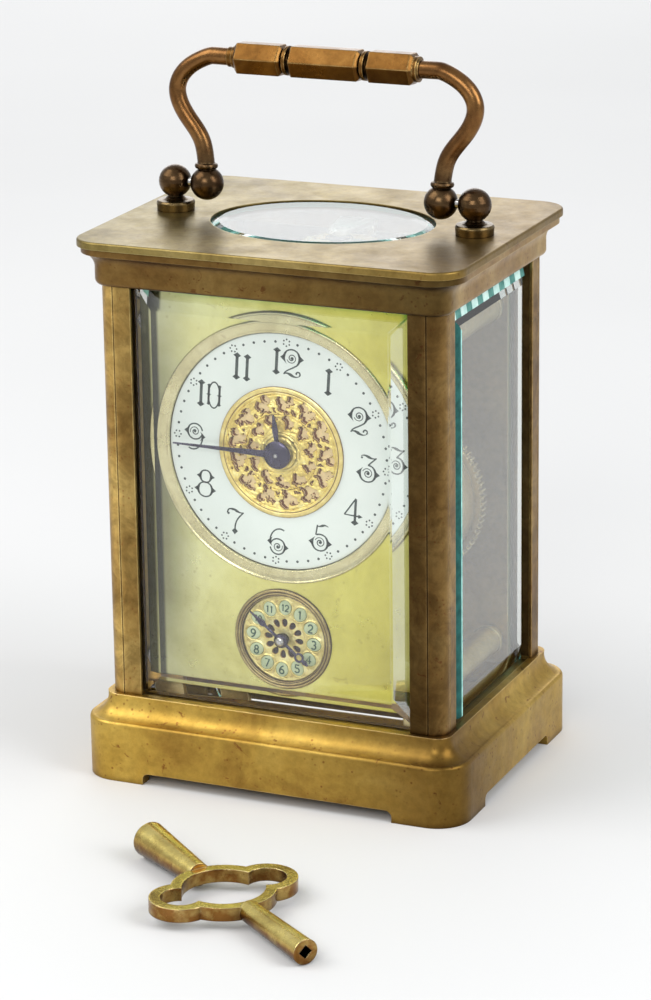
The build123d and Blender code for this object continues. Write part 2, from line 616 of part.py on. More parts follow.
make_hand("alarm_hand", ALARM_SET, ALARM_ANGLE, ALARM_HAND, 1.5, SET_R + 0.01, -22.4, -22.1, ALARM_BOSS,
          (-4.9, 1.0, 0.62))

# ---------------------------------------------------------------- movement frame
PILLARS = [(sx * PILLAR_X, z) for sx in (-1, 1) for z in (PILLAR_LOW, PILLAR_HIGH)]


def movement_plate(name, front, holes, posts=()):
    """Upright brass plate on two feet, drilled for its arbors and pillars."""
    with BuildPart() as plate:
        with BuildSketch(facing(front + PLATE_T)):
            with Locations((0, (BASE_H + PLATE_HIGH) / 2)):
                Rectangle(2 * PLATE_X, PLATE_HIGH - BASE_H)
            with Locations((0, BASE_H + 2)):
                Rectangle(48, 4, mode=Mode.SUBTRACT)
            with Locations(*PILLARS):
                Circle(1.42, mode=Mode.SUBTRACT)
            for centre, radius in holes:
                with Locations(centre):
                    Circle(radius, mode=Mode.SUBTRACT)
        extrude(amount=PLATE_T)
        for shape in posts:
            add(shape)
    save(plate, name)


front_holes = [(CENTRE, FRONT_CENTRE_R + RUN), (BARREL, 1.2 + RUN), (ALARM_BARREL, 1.2 + RUN),
               (THIRD, PIVOT + RUN), (CONTRATE, PIVOT + RUN), (ALARM_ESCAPE, PIVOT + RUN),
               (ALARM_SET, SET_R + RUN), (HAMMER, PIVOT + RUN)]
back_holes = [(CENTRE, CENTRE_R + RUN), (BARREL, TIME_ARBOR_R + RUN), (ALARM_BARREL, ALARM_ARBOR_R + RUN),
              (THIRD, PIVOT + RUN), (CONTRATE, PIVOT + RUN), (ALARM_ESCAPE, PIVOT + RUN),
              (ALARM_SET, SET_R + RUN), (HAMMER, 0.8 + RUN)]
motion_post = turned(steps((-19.65, PLATE_FRONT_Y + 0.1, 0.5)), MOTION)
click_post = turned(steps((PLATE_BACK_Y + 1.0, 19.3, 0.8)), CLICK)
bell_post = turned(steps((PLATE_BACK_Y + 1.0, 22.7, 1.2)), BELL)
movement_plate("front_plate", PLATE_FRONT_Y, front_holes, [motion_post])
movement_plate("back_plate", PLATE_BACK_Y, back_holes, [click_post, bell_post])

with BuildPart() as movement_pillars:
    for spot in PILLARS:
        add(turned(steps((-19.1, -INNER, 1.4), (-INNER, -13.4, 2.4), (-13.4, -12.6, 3.1),
                         (-12.6, 12.6, PILLAR_R), (12.6, 13.4, 3.2), (13.4, INNER, 2.3),
                         (INNER, 19.1, 1.4)), spot))
save(movement_pillars, "movement_pillars")

with BuildPart() as pillar_nuts:
    for back in (PLATE_FRONT_Y, 19.2):
        with BuildSketch(facing(back)):
            with Locations(*PILLARS):
                RegularPolygon(2.5, 6)
                Circle(1.42, mode=Mode.SUBTRACT)
        extrude(amount=1.6)
save(pillar_nuts, "pillar_nuts")

# ---------------------------------------------------------------- going train
barrel_phase = 0.0
centre_dir = BARREL_DIR + 180  # from the barrel to the centre arbor
centre_leaf_phase = in_mesh(barrel_phase, BARREL_TEETH, centre_dir, CENTRE_LEAVES)
third_leaf_phase = in_mesh(0.0, CENTRE_TEETH, THIRD_DIR, THIRD_LEAVES)
contrate_leaf_phase = in_mesh(0.0, THIRD_TEETH, CONTRATE_DIR, CONTRATE_LEAVES)
motion_phase = in_mesh(0.0, CANNON_LEAVES, MINUTE_DIR, MINUTE_TEETH)
hour_phase = in_mesh(0.0, MINUTE_LEAVES, MINUTE_DIR + 180, HOUR_TEETH)

with BuildPart() as time_barrel:
    # Drum for the mainspring, closed but for the arbor, with its toothed rim at the back.
    add(turned(steps((-13.0, 3.0, 15.2)), BARREL))
    add(turned(steps((-12.0, 4.0, 14.2)), BARREL), mode=Mode.SUBTRACT)
    add(gear(BARREL, BARREL_TEETH, BARREL_M, barrel_phase, 3.0, 5.0))
    add(turned(steps((-14.0, 6.0, TIME_ARBOR_R + RUN)), BARREL), mode=Mode.SUBTRACT)
save(time_barrel, "time_barrel")

with BuildPart() as time_winding_arbor:
    add(turned(steps((-17.4, -15.0, 1.2), (-15.0, 18.9, TIME_ARBOR_R)), BARREL))
    add(square_end(BARREL, 2.8, 18.9, SQUARE_END))
save(time_winding_arbor, "time_winding_arbor")

RATCHET_TEETH, RATCHET_R = 24, 5.2
ratchet_outline = []
for i in range(RATCHET_TEETH):
    for r, share in ((RATCHET_R - 0.7, 0.0), (RATCHET_R, 0.9)):
        a = radians((i + share) * 360 / RATCHET_TEETH)
        ratchet_outline.append((r * cos(a), r * sin(a)))

with BuildPart() as time_ratchet:
    with BuildSketch(facing(18.8)):
        with Locations(BARREL):
            Polygon(*ratchet_outline, align=None)
            Circle(TIME_ARBOR_R + 0.01, mode=Mode.SUBTRACT)
    extrude(amount=1.0)
save(time_ratchet, "time_ratchet")

with BuildPart() as time_click:
    # The click reaches from its stud to the rim of the ratchet wheel.
    away = degrees(atan2(BARREL[1] + 4.6 - CLICK[1], BARREL[0] - CLICK[0]))
    with BuildSketch(facing(18.8)):
        with Locations(CLICK):
            Circle(1.6)
        with Locations(Location(CLICK, away)):
            Polygon((0, 1.4), (4.6, 0.5), (4.6, -0.3), (0, -1.4), align=None)
        with Locations(CLICK):
            Circle(0.8 + RUN, mode=Mode.SUBTRACT)
        with Locations(BARREL):
            Circle(RATCHET_R + 0.15, mode=Mode.SUBTRACT)
    extrude(amount=1.0)
save(time_click, "time_click")

with BuildPart() as centre_arbor:
    # Carries the minute hand in front and the hand-setting square at the back.
    add(turned(steps((-22.4, -15.6, FRONT_CENTRE_R), (-15.6, 18.9, CENTRE_R)), CENTRE))
    add(gear(CENTRE, CENTRE_LEAVES, BARREL_M, centre_leaf_phase, 2.4, 7.0))
    add(square_end(CENTRE, 1.4, 18.9, SQUARE_END))
save(centre_arbor, "centre_arbor")

with BuildPart() as centre_wheel:
    add(gear(CENTRE, CENTRE_TEETH, CENTRE_M, 0.0, 8.0, 9.2, CENTRE_R + 0.01, 4, 1.2, 2.6))
save(centre_wheel, "centre_wheel")

with BuildPart() as third_wheel:
    add(turned(steps((-17.2, -15.8, PIVOT), (-15.8, 15.8, 0.8), (15.8, 17.2, PIVOT)), THIRD))
    add(gear(THIRD, THIRD_LEAVES, CENTRE_M, third_leaf_phase, 7.2, 10.0))
    add(gear(THIRD, THIRD_TEETH, THIRD_M, 0.0, 12.0, 13.0, 0, 4, 1.1, 2.2))
save(third_wheel, "third_wheel")

CONTRATE_TEETH, CONTRATE_R = 56, 7.5
with BuildPart() as contrate_wheel:
    # Crown wheel: its teeth stand forward from the rim, towards the upright escape pinion.
    add(turned(steps((-17.2, -15.8, PIVOT), (-15.8, 15.8, 0.7), (15.8, 17.2, PIVOT)), CONTRATE))
    add(gear(CONTRATE, CONTRATE_LEAVES, THIRD_M, contrate_leaf_phase, 11.0, 14.0))
    add(turned(steps((-2.6, 1.6, CONTRATE_R)), CONTRATE))
    add(turned(steps((-3.0, 0.6, CONTRATE_R - 0.6)), CONTRATE), mode=Mode.SUBTRACT)
    add(turned(steps((-3.0, 1.6, 0.7)), CONTRATE))
    with BuildSketch(facing(2.0)):
        with Locations(CONTRATE):
            with PolarLocations(4.0, 4):
                Circle(2.0)
    extrude(amount=2.0, mode=Mode.SUBTRACT)
    with BuildSketch(facing(-1.7)):
        with Locations(CONTRATE):
            with PolarLocations(CONTRATE_R - 0.3, CONTRATE_TEETH):
                Rectangle(1.6, 0.48)
    extrude(amount=1.5, mode=Mode.SUBTRACT)
save(contrate_wheel, "contrate_wheel")

# ---------------------------------------------------------------- motion work behind the dial
with BuildPart() as cannon_pinion:
    add(turned(steps((-22.4, -18.0, 0.93)), CENTRE))
    add(gear(CENTRE, CANNON_LEAVES, CANNON_M, 0.0, -18.65, -18.0))
    add(turned(steps((-23.0, -17.5, FRONT_CENTRE_R + 0.01)), CENTRE), mode=Mode.SUBTRACT)
save(cannon_pinion, "cannon_pinion")

with BuildPart() as minute_wheel:
    add(gear(MOTION, MINUTE_TEETH, CANNON_M, motion_phase, -18.55, -18.05))
    add(gear(MOTION, MINUTE_LEAVES, HOUR_M, 0.0, -19.5, -18.55))
    add(turned(steps((-20.0, -17.0, 0.5 + RUN)), MOTION), mode=Mode.SUBTRACT)
save(minute_wheel, "minute_wheel")

with BuildPart() as hour_wheel:
    add(gear(CENTRE, HOUR_TEETH, HOUR_M, hour_phase, -19.4, -18.9))
    add(turned(steps((-22.2, -18.9, 1.45)), CENTRE))
    add(turned(steps((-23.0, -18.0, 0.93 + RUN)), CENTRE), mode=Mode.SUBTRACT)
save(hour_wheel, "hour_wheel")

# ---------------------------------------------------------------- platform escapement
ESCAPE_TOP, COCK_Z = 101.0, 104.2
platform_top = PLATFORM_Z + PLATFORM_T

with BuildPart() as platform_plate:
    with BuildSketch(Plane.XY.offset(PLATFORM_Z)):
        RectangleRounded(24, 37, 2)
        with Locations((0, ESCAPE_Y)):
            Circle(0.5, mode=Mode.SUBTRACT)
        with Locations((0, BALANCE_Y)):
            Circle(0.4, mode=Mode.SUBTRACT)
    extrude(amount=PLATFORM_T)
    # hanging bracket for the lower pivot of the escape pinion
    with BuildSketch(Plane.XY.offset(88.0)):
        with Locations((4.2, -4.6)):
            Rectangle(1.6, 2.4)
    extrude(amount=PLATFORM_Z - 88.0)
    with BuildSketch(Plane.XY.offset(88.0)):
        with Locations((1.9, -4.6)):
            Rectangle(6.2, 2.4)
        with Locations((0, ESCAPE_Y)):
            Circle(0.35, mode=Mode.SUBTRACT)
    extrude(amount=0.8)
save(platform_plate, "platform_plate")

ESCAPE_TEETH, ESCAPE_R = 15, 3.6
escape_outline = []
for i in range(ESCAPE_TEETH):
    for r, share in ((ESCAPE_R - 1.2, 0.0), (ESCAPE_R, 0.75), (ESCAPE_R, 0.95)):
        a = radians((i + share) * 360 / ESCAPE_TEETH)
        escape_outline.append((r * cos(a), r * sin(a)))

with BuildPart() as escape_wheel:
    add(spun([(0.3, 88.1), (0.3, 88.9), (0.75, 88.9), (0.75, 93.4), (0.45, 93.4), (0.45, ESCAPE_TOP),
              (0.25, ESCAPE_TOP), (0.25, ESCAPE_TOP + 0.8)], 0, ESCAPE_Y))
    with BuildSketch(Plane.XY.offset(89.2)):
        with Locations((0, ESCAPE_Y)):
            with PolarLocations(0.9, 8):
                Rectangle(0.7, 0.3)
    extrude(amount=3.8)
    with BuildSketch(Plane.XY.offset(98.9)):
        with Locations((0, ESCAPE_Y)):
            Polygon(*escape_outline, align=None)
            with PolarLocations(1.6, 4):
                Circle(0.55, mode=Mode.SUBTRACT)
    extrude(amount=0.5)
save(escape_wheel, "escape_wheel")

LEVER_Y = 2.2
with BuildPart() as pallet_lever:
    add(spun([(0.25, platform_top + 0.1), (0.25, 101.6)], 0, LEVER_Y))
    with BuildSketch(Plane.XY.offset(99.9)):
        with Locations((0, LEVER_Y)):
            Circle(0.8)
        Polygon((-0.35, 0.7), (0.35, 0.7), (0.2, 6.2), (-0.2, 6.2), align=None)
        with Locations((0, 0.9)):
            Rectangle(5.2, 0.8)
    extrude(amount=0.5)
save(pallet_lever, "pallet_lever")

BALANCE_R = 7.6
with BuildPart() as balance_wheel:
    add(spun([(0.3, PLATFORM_Z + 0.4), (0.3, 99.9), (1.0, 99.9), (1.0, 100.5), (0.35, 100.5),
              (0.35, 104.0), (0.2, 104.0), (0.2, 104.7)], 0, BALANCE_Y))
    with BuildSketch(Plane.XY.offset(101.7)):
        with Locations((0, BALANCE_Y)):
            Circle(BALANCE_R)
            Circle(BALANCE_R - 0.8, mode=Mode.SUBTRACT)
            Rectangle(2 * BALANCE_R - 0.6, 0.8)
            Circle(0.9)
            with PolarLocations(BALANCE_R + 0.2, 12, start_angle=15):
                Circle(0.35)
    extrude(amount=0.8)
save(balance_wheel, "balance_wheel")

with BuildPart() as hairspring:
    # Flat spiral of half turns whose centres alternate, pinned to the balance staff.
    with BuildSketch(Plane.XY.offset(103.1)):
        with Locations((0, BALANCE_Y)):
            Circle(0.75)
            Circle(0.36, mode=Mode.SUBTRACT)
    extrude(amount=0.5)
    gap, turns = 0.5, 9
    with BuildSketch(Plane.XY.offset(103.2)):
        with BuildLine(Plane.XY.offset(103.2)) as spiral:
            for i in range(turns):
                flip = 1 if i % 2 == 0 else -1
                r = 0.7 + i * gap / 2
                hub_x = 0 if i % 2 == 0 else -gap / 2
                CenterArc((hub_x, BALANCE_Y), r, 0 if flip == 1 else 180, 180)
        trace(line_width=0.16)
    extrude(amount=0.3)
save(hairspring, "hairspring")

with BuildPart() as balance_cock:
    # One cock for the balance, and a small bridge for the escape wheel and the lever.
    with BuildSketch(Plane.XY.offset(platform_top)):
        with Locations((0, 17.4)):
            Rectangle(8, 2.1)
    extrude(amount=COCK_Z - platform_top)
    with BuildSketch(Plane.XY.offset(COCK_Z)):
        with BuildLine():
            Polyline((-2.2, BALANCE_Y), (-4, 18.45), (4, 18.45), (2.2, BALANCE_Y))
            ThreePointArc((2.2, BALANCE_Y), (0, BALANCE_Y - 2.2), (-2.2, BALANCE_Y))
        make_face()
        with Locations((0, BALANCE_Y)):
            Circle(0.3, mode=Mode.SUBTRACT)
    extrude(amount=1.0)
    with BuildSketch(Plane.XY.offset(platform_top)):
        with Locations((-6.4, -8.6), (6.4, -8.6)):
            Rectangle(3.0, 3.0)
    extrude(amount=ESCAPE_TOP - platform_top + 0.1)
    with BuildSketch(Plane.XY.offset(ESCAPE_TOP + 0.1)):
        with BuildLine():
            Polyline((-7.9, -10.1), (7.9, -10.1), (7.9, -7.1), (1.6, -5.0))
            Polyline((1.6, -5.0), (1.6, -3.0), (-1.6, -3.0), (-1.6, -5.0), (-7.9, -7.1), (-7.9, -10.1))
        make_face()
        with Locations((0, ESCAPE_Y)):
            Circle(0.32, mode=Mode.SUBTRACT)
    extrude(amount=0.55)
save(balance_cock, "balance_cock")

# ---------------------------------------------------------------- alarm train
alarm_leaf_phase = in_mesh(0.0, ALARM_TEETH, ALARM_DIR, ALARM_LEAVES)

with BuildPart() as alarm_barrel:
    add(turned(steps((-13.0, -2.0, 9.6)), ALARM_BARREL))
    add(turned(steps((-12.0, -1.0, 8.8)), ALARM_BARREL), mode=Mode.SUBTRACT)
    add(gear(ALARM_BARREL, ALARM_TEETH, ALARM_M, 0.0, -2.0, -0.6))
    add(turned(steps((-14.0, 0.0, ALARM_ARBOR_R + RUN)), ALARM_BARREL), mode=Mode.SUBTRACT)
save(alarm_barrel, "alarm_barrel")

with BuildPart() as alarm_winding_arbor:
    add(turned(steps((-17.4, -15.0, 1.2), (-15.0, 18.9, ALARM_ARBOR_R)), ALARM_BARREL))
    add(square_end(ALARM_BARREL, 2.4, 18.9, SQUARE_END))
save(alarm_winding_arbor, "alarm_winding_arbor")

with BuildPart() as alarm_escape_wheel:
    add(turned(steps((-17.2, -15.8, PIVOT), (-15.8, 15.8, 0.8), (15.8, 17.2, PIVOT)), ALARM_ESCAPE))
    add(gear(ALARM_ESCAPE, ALARM_LEAVES, ALARM_M, alarm_leaf_phase, -3.0, 0.4))
    add(gear(ALARM_ESCAPE, 18, 0.52, 0.0, 5.0, 6.0, 0, 4, 0.8, 1.6))
save(alarm_escape_wheel, "alarm_escape_wheel")

with BuildPart() as alarm_setting_arbor:
    add(turned(steps((-22.4, 18.9, SET_R)), ALARM_SET))
    add(turned(steps((-14.8, -13.8, 7.0)), ALARM_SET))
    with Locations(Location((0, -14.3, ALARM_Z + 6.6), (90, 0, 0))):
        Cylinder(1.0, 3.0, mode=Mode.SUBTRACT)
    add(square_end(ALARM_SET, 1.2, 18.9, SQUARE_END))
save(alarm_setting_arbor, "alarm_setting_arbor")

HEAD = (-25.8, 71.8)
with BuildPart() as alarm_hammer:
    # Arbor with its pallet between the plates, and the hammer arm and head behind them.
    add(turned(steps((-17.2, -15.8, PIVOT), (-15.8, 19.6, 0.8)), HAMMER))
    lean = degrees(atan2(HEAD[1] - HAMMER[1], HEAD[0] - HAMMER[0]))
    reach = ((HEAD[0] - HAMMER[0]) ** 2 + (HEAD[1] - HAMMER[1]) ** 2) ** 0.5
    with BuildSketch(facing(19.6)):
        with Locations(HAMMER):
            Circle(1.8)
        with Locations(Location(HAMMER, lean)):
            Polygon((0, 0.9), (reach, 0.5), (reach, -0.5), (0, -0.9), align=None)
    extrude(amount=0.8)
    add(turned([(18.0, 1.3), (18.4, 1.8), (21.2, 1.8), (21.6, 1.3)], HEAD))
    with BuildSketch(facing(6.0)):
        with Locations(Location(HAMMER, -60)):
            Rectangle(4.6, 0.7, align=(Align.MIN, Align.CENTER))
    extrude(amount=1.0)
save(alarm_hammer, "alarm_hammer")

with BuildPart() as alarm_bell:
    outer_bell = [(18.6, BELL_R), (19.6, BELL_R - 0.15), (20.8, BELL_R - 1.0), (21.8, BELL_R - 2.8),
                  (22.5, BELL_R - 5.4), (22.8, BELL_R - 8.4)]
    inner_bell = [(18.0, BELL_R - 0.8), (19.6, BELL_R - 0.95), (20.6, BELL_R - 1.75),
                  (21.3, BELL_R - 3.3), (21.8, BELL_R - 5.7), (22.0, BELL_R - 8.4)]
    add(turned(outer_bell, BELL))
    add(turned(inner_bell, BELL), mode=Mode.SUBTRACT)
    add(turned(steps((17.0, 24.0, 1.22)), BELL), mode=Mode.SUBTRACT)
save(alarm_bell, "alarm_bell")

# ---------------------------------------------------------------- winding key
KEY_END, KEY_DIR, KEY_L = (-9.6, -64.7), -35.9, 58.8
BIG_R, SMALL_R = 3.5, 2.45
tilt = degrees(atan2(BIG_R - SMALL_R, KEY_L))
BOW_AT, BOW_T, BOW_WALL = 29.0, 2.6, 2.1
BOW_CIRCLES = [(0, 9.9), (9.1, 5.9), (-9.1, 5.9)]
key_plane = Plane(Location((*KEY_END, BIG_R), (0, tilt, KEY_DIR)))
side_plane = Plane(key_plane.origin, x_dir=key_plane.x_dir, z_dir=key_plane.y_dir)
shank_axis = Axis(key_plane.origin, key_plane.x_dir)

with BuildPart() as winding_key:
    # Tapered large socket at one end and slim small socket at the other.
    with BuildSketch(side_plane):
        Polygon((0, 0), (0, BIG_R), (19.6, 2.3), (19.6, 0), align=None)
        Polygon((38.2, 0), (38.2, 2.1), (KEY_L, SMALL_R), (KEY_L, 0), align=None)
    revolve(axis=shank_axis)
    with BuildSketch(key_plane.offset(-BOW_T / 2)):
        for across, radius in BOW_CIRCLES:
            with Locations((BOW_AT, across)):
                Circle(radius)
        for across, radius in BOW_CIRCLES:
            with Locations((BOW_AT, across)):
                Circle(radius - BOW_WALL, mode=Mode.SUBTRACT)
    extrude(amount=BOW_T)
    with BuildSketch(Plane(key_plane.origin, x_dir=key_plane.y_dir, z_dir=key_plane.x_dir)):
        Rectangle(3.0, 3.0)
    extrude(amount=11, mode=Mode.SUBTRACT)
    small_mouth = Plane(key_plane.origin + key_plane.x_dir * KEY_L, x_dir=key_plane.y_dir,
                        z_dir=key_plane.x_dir)
    with BuildSketch(small_mouth):
        Rectangle(1.9, 1.9, rotation=45)
    extrude(amount=-9, mode=Mode.SUBTRACT)
save(winding_key, "winding_key")
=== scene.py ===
"""Looks of a brass carriage clock with an alarm: camera, light, materials and fine pieces."""
import json
import math

import bmesh
import bpy
import numpy as np
from mathutils import Matrix, Vector, noise


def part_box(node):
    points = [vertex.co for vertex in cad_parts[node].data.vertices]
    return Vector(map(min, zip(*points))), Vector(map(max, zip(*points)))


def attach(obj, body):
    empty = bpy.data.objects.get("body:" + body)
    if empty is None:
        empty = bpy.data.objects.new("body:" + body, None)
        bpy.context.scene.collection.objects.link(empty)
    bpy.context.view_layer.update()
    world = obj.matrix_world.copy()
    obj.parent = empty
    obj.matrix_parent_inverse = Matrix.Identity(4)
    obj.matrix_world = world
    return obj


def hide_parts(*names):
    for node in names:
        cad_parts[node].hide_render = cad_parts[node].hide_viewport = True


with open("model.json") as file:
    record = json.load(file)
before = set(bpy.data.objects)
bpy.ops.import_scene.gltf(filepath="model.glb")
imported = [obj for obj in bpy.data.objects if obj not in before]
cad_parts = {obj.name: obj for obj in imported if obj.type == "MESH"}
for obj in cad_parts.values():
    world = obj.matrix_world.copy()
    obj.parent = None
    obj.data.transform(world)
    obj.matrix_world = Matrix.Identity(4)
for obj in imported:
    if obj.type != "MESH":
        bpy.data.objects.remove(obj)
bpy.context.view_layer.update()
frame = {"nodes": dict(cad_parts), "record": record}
MM = 0.001

# Places that the CAD source fixes, in millimetres.
DIAL = (0.0, 69.6)
ALARM = (0.0, 31.2)
DIAL_TURN = math.radians(-4.0)  # the dials sit a little clockwise in their bezels
ENAMEL_FRONT = -20.6
ALARM_R = 8.85

EDGE_RAYS = 6  # samples of the nodes that find edges and creases
GRAIN_DEPTH = 0.0003  # metres, of the fine bumps in cast brass
MATERIALS = {}  # every material by its name, which is its slot's where a CAD node has it


# ---------------------------------------------------------------- shader helpers
class Tree:
    """Short names for building one node tree."""

    def __init__(self, tree):
        self.new = tree.nodes.new
        self.link = tree.links.new
        self._where = None

    def feed(self, socket, value):
        """Links an output to the socket, or sets the socket to a value."""
        if isinstance(value, bpy.types.NodeSocket):
            self.link(value, socket)
        else:
            socket.default_value = value

    def put(self, node, **values):
        """Feeds sockets by name; an underscore stands for a space."""
        for name, value in values.items():
            self.feed(node.inputs[name.replace("_", " ")], value)
        return node

    def make(self, kind, **values):
        return self.put(self.new("ShaderNode" + kind), **values)

    def where(self):
        """The place in the row frame, in metres."""
        if self._where is None:
            self._where = self.new("ShaderNodeTexCoord").outputs["Object"]
        return self._where

    def noise(self, scale, detail=6.0, rough=0.6, warp=0.0, vector=None):
        return self.make("TexNoise", Vector=vector or self.where(), Scale=scale, Detail=detail,
                         Roughness=rough, Distortion=warp).outputs["Fac"]

    def cells(self, scale):
        """Distance to the nearest of many scattered points."""
        return self.make("TexVoronoi", Vector=self.where(), Scale=scale).outputs["Distance"]

    def ramp(self, value, *stops):
        """Smooth ramp of grey levels or colours from (position, level or colour) stops."""
        node = self.new("ShaderNodeValToRGB")
        element = node.color_ramp.elements
        while len(element) < len(stops):
            element.new(0.5)
        for at, (place, colour) in zip(element, stops):
            at.position = place
            at.color = (colour,) * 3 + (1,) if isinstance(colour, (int, float)) else tuple(colour) + (1,)
        self.link(value, node.inputs["Fac"])
        return node.outputs["Color"]

    def mix(self, factor, a, b, how="MIX"):
        node = self.new("ShaderNodeMix")
        node.data_type, node.blend_type = "RGBA", how
        for socket, value in ((node.inputs["Factor"], factor), (node.inputs[6], a), (node.inputs[7], b)):
            self.feed(socket, value + (1,) if isinstance(value, tuple) else value)
        return node.outputs[2]

    def tinted(self, base, tone):
        return self.mix(1.0, base, tone, "MULTIPLY")

    def math(self, how, a, b=0.0, clamp=False):
        node = self.new("ShaderNodeMath")
        node.operation, node.use_clamp = how, clamp
        for socket, value in zip(node.inputs, (a, b)):
            self.feed(socket, value)
        return node.outputs[0]

    def product(self, a, b):
        return self.math("MULTIPLY", a, b)

    def vector(self, how, a, b):
        node = self.new("ShaderNodeVectorMath")
        node.operation = how
        for socket, value in zip(node.inputs, (a, b)):
            self.feed(socket, value)
        return node

    def axis(self, name):
        return self.make("SeparateXYZ", Vector=self.where()).outputs[name]

    def away_from(self, x, y):
        """Distance in metres from the upright line at x, y in millimetres."""
        flat = self.vector("MULTIPLY", self.where(), (1, 1, 0)).outputs[0]
        return self.vector("DISTANCE", flat, (x * MM, y * MM, 0)).outputs["Value"]

    def share(self, value, low, high):
        """0 to 1 as a length goes from low to high, in millimetres."""
        return self.make("MapRange", Value=value, From_Min=low * MM, From_Max=high * MM).outputs[0]

    def across(self, value, *stops):
        """Ramp over a length: stops are (millimetres, level or colour)."""
        low, high = stops[0][0], stops[-1][0]
        places = [((mm - low) / (high - low), level) for mm, level in stops]
        return self.ramp(self.share(value, low, high), *places)

    def bump(self, height, strength, distance, under=None):
        node = self.make("Bump", Height=height, Strength=strength, Distance=distance)
        if under is not None:
            self.feed(node.inputs["Normal"], under)
        return node.outputs["Normal"]


def new_material(name):
    material = bpy.data.materials.new(name)
    material.use_nodes = True
    MATERIALS[name] = material
    return material, Tree(material.node_tree), material.node_tree.nodes["Principled BSDF"]


def edges_of(t, radius):
    """0 on flats, 1 on outer and inner edges, and the normal rounded over that radius."""
    rounded = t.make("Bevel", Radius=radius)
    rounded.samples = EDGE_RAYS
    real = t.new("ShaderNodeNewGeometry").outputs["Normal"]
    same = t.vector("DOT_PRODUCT", rounded.outputs["Normal"], real).outputs["Value"]
    edge = t.ramp(t.math("SUBTRACT", 1.0, same, True), (0.0, 0.0), (0.22, 1.0))
    return edge, rounded.outputs["Normal"]


def hollows_of(t, distance):
    """1 in the open, 0 in creases."""
    node = t.make("AmbientOcclusion", Distance=distance)
    node.samples = EDGE_RAYS
    return node.outputs["AO"]


def brass(name, dark, middle, light, edge_wear_and_highlight, rough=(0.22, 0.42), patch=55.0, spots=0.45,
          spot_colour=(0.16, 0.045, 0.018), edge=0.00035, edge_gain=0.8, dirt_and_shade=0.0022,
          dirt_and_shade_colour=(0.05, 0.028, 0.012), metal=1.0, bump=0.12, shade=None, grain=0.28):
    """Old brass: clouds of patina, red-brown spots, darker creases (dirt and painted shade) and paler edges
    (rubbed wear and a painted highlight).

    patch is the scale of the clouds; edge and dirt_and_shade are how far the pale edges and the dark creases
    reach, in metres.
    """
    material, t, shader = new_material(name)
    base = t.ramp(t.noise(patch, 7.0, 0.62, 0.6), (0.30, dark), (0.50, middle), (0.72, light))
    fine = t.noise(patch * 11, 5.0, 0.7)
    base = t.mix(grain, base, t.ramp(fine, (0.35, 0.25), (0.62, 1.0)), "MULTIPLY")
    where = t.ramp(t.noise(patch * 3.2, 3.0, 0.5), (0.50, 0.0), (0.62, 1.0))
    small = t.product(t.ramp(t.cells(patch * 16), (0.10, 1.0), (0.26, 0.0)), where)
    blots = t.ramp(t.noise(patch * 7, 4.0, 0.65, 0.8), (0.64, 0.0), (0.70, 1.0))
    base = t.mix(t.product(t.math("MAXIMUM", small, blots), spots), base, spot_colour)
    edge_wear_and_highlight_mask, rounded = edges_of(t, edge)
    rub = t.product(edge_wear_and_highlight_mask, t.ramp(t.noise(patch * 5, 4.0, 0.6), (0.30, 0.25), (0.60, 1.0)))
    open_side = t.ramp(hollows_of(t, dirt_and_shade), (0.35, 0.0), (0.80, 1.0))
    # Paler edges: rubbed wear and a painted highlight.
    base = t.mix(t.product(t.product(rub, open_side), edge_gain), base, edge_wear_and_highlight)
    # Darker creases, from the ambient occlusion node: dirt and painted shade.
    base = t.mix(t.product(t.math("SUBTRACT", 1.0, open_side), 0.85), base, dirt_and_shade_colour)
    if shade is not None:
        base = shade(t, base)
    roughness = t.ramp(t.noise(patch * 2.3, 6.0, 0.7), (0.35, rough[0]), (0.70, rough[1]))
    t.put(shader, Metallic=metal, Base_Color=base, Roughness=roughness,
          Normal=t.bump(fine, bump, GRAIN_DEPTH, rounded))
    return material


def base_shade(t, base):
    """Painted shade round the front right corner and on the right side face, painted light towards the left.
    """
    corner = t.across(t.away_from(41, -32.6), (0, (0.31, 0.255, 0.24)), (9, (0.50, 0.42, 0.42)),
                      (30, (1.0, 0.94, 0.93)), (75, (1.16, 1.08, 0.95)))
    # Painted shade on the right side face.
    side = t.across(t.axis("X"), (41.0, 1.0), (41.8, (0.42, 0.39, 0.53)))
    return t.tinted(t.tinted(base, corner), side)


def top_shade(t, base):
    """Painted light and shade: paler in the middle of the plate, browner and darker at its right end."""
    tone = t.across(t.axis("X"), (-42, (0.74, 0.76, 0.68)), (-8, (1.0, 1.0, 0.94)), (42, (0.72, 0.61, 0.43)))
    return t.tinted(base, tone)


def front_only(t, base, left, middle, right, start, end):
    """Multiplies the faces in front of a depth by a colour that changes from left to right."""
    level = t.across(t.axis("X"), (-36, left), (0, middle), (36, right))
    front = t.across(t.axis("Y"), (start, 1.0), (end, 0.0))
    return t.mix(front, base, t.tinted(base, level))


def column_shade(t, base):
    """Blotched patina, with painted shade towards the opening and on the right, and a painted highlight on
    the front of the left columns.
    """
    blotches = t.ramp(t.noise(150.0, 5.0, 0.7, 1.2), (0.40, (0.62, 0.56, 0.52)), (0.62, (1.12, 1.05, 1.0)))
    base = t.mix(0.75, base, t.tinted(base, blotches))
    # Painted shade in the reveal towards the opening.
    reveal = t.across(t.math("ABSOLUTE", t.axis("X")), (29, 0.66), (31.8, 0.76), (32.6, 1.0), (34, 1.08))
    base = t.tinted(base, reveal)
    # Painted highlight on the fronts of the left columns, painted shade on the right ones.
    return front_only(t, base, (1.90, 2.02, 1.80), (0.8, 0.8, 0.7), (0.39, 0.36, 0.33), -27.6, -24.6)


def cornice_shade(t, base):
    """Painted shade: its front is darker than its moulding, most of all at the right."""
    return front_only(t, base, (0.50, 0.445, 0.36), (0.48, 0.455, 0.365), (0.25, 0.245, 0.21), -28.0, -22.0)


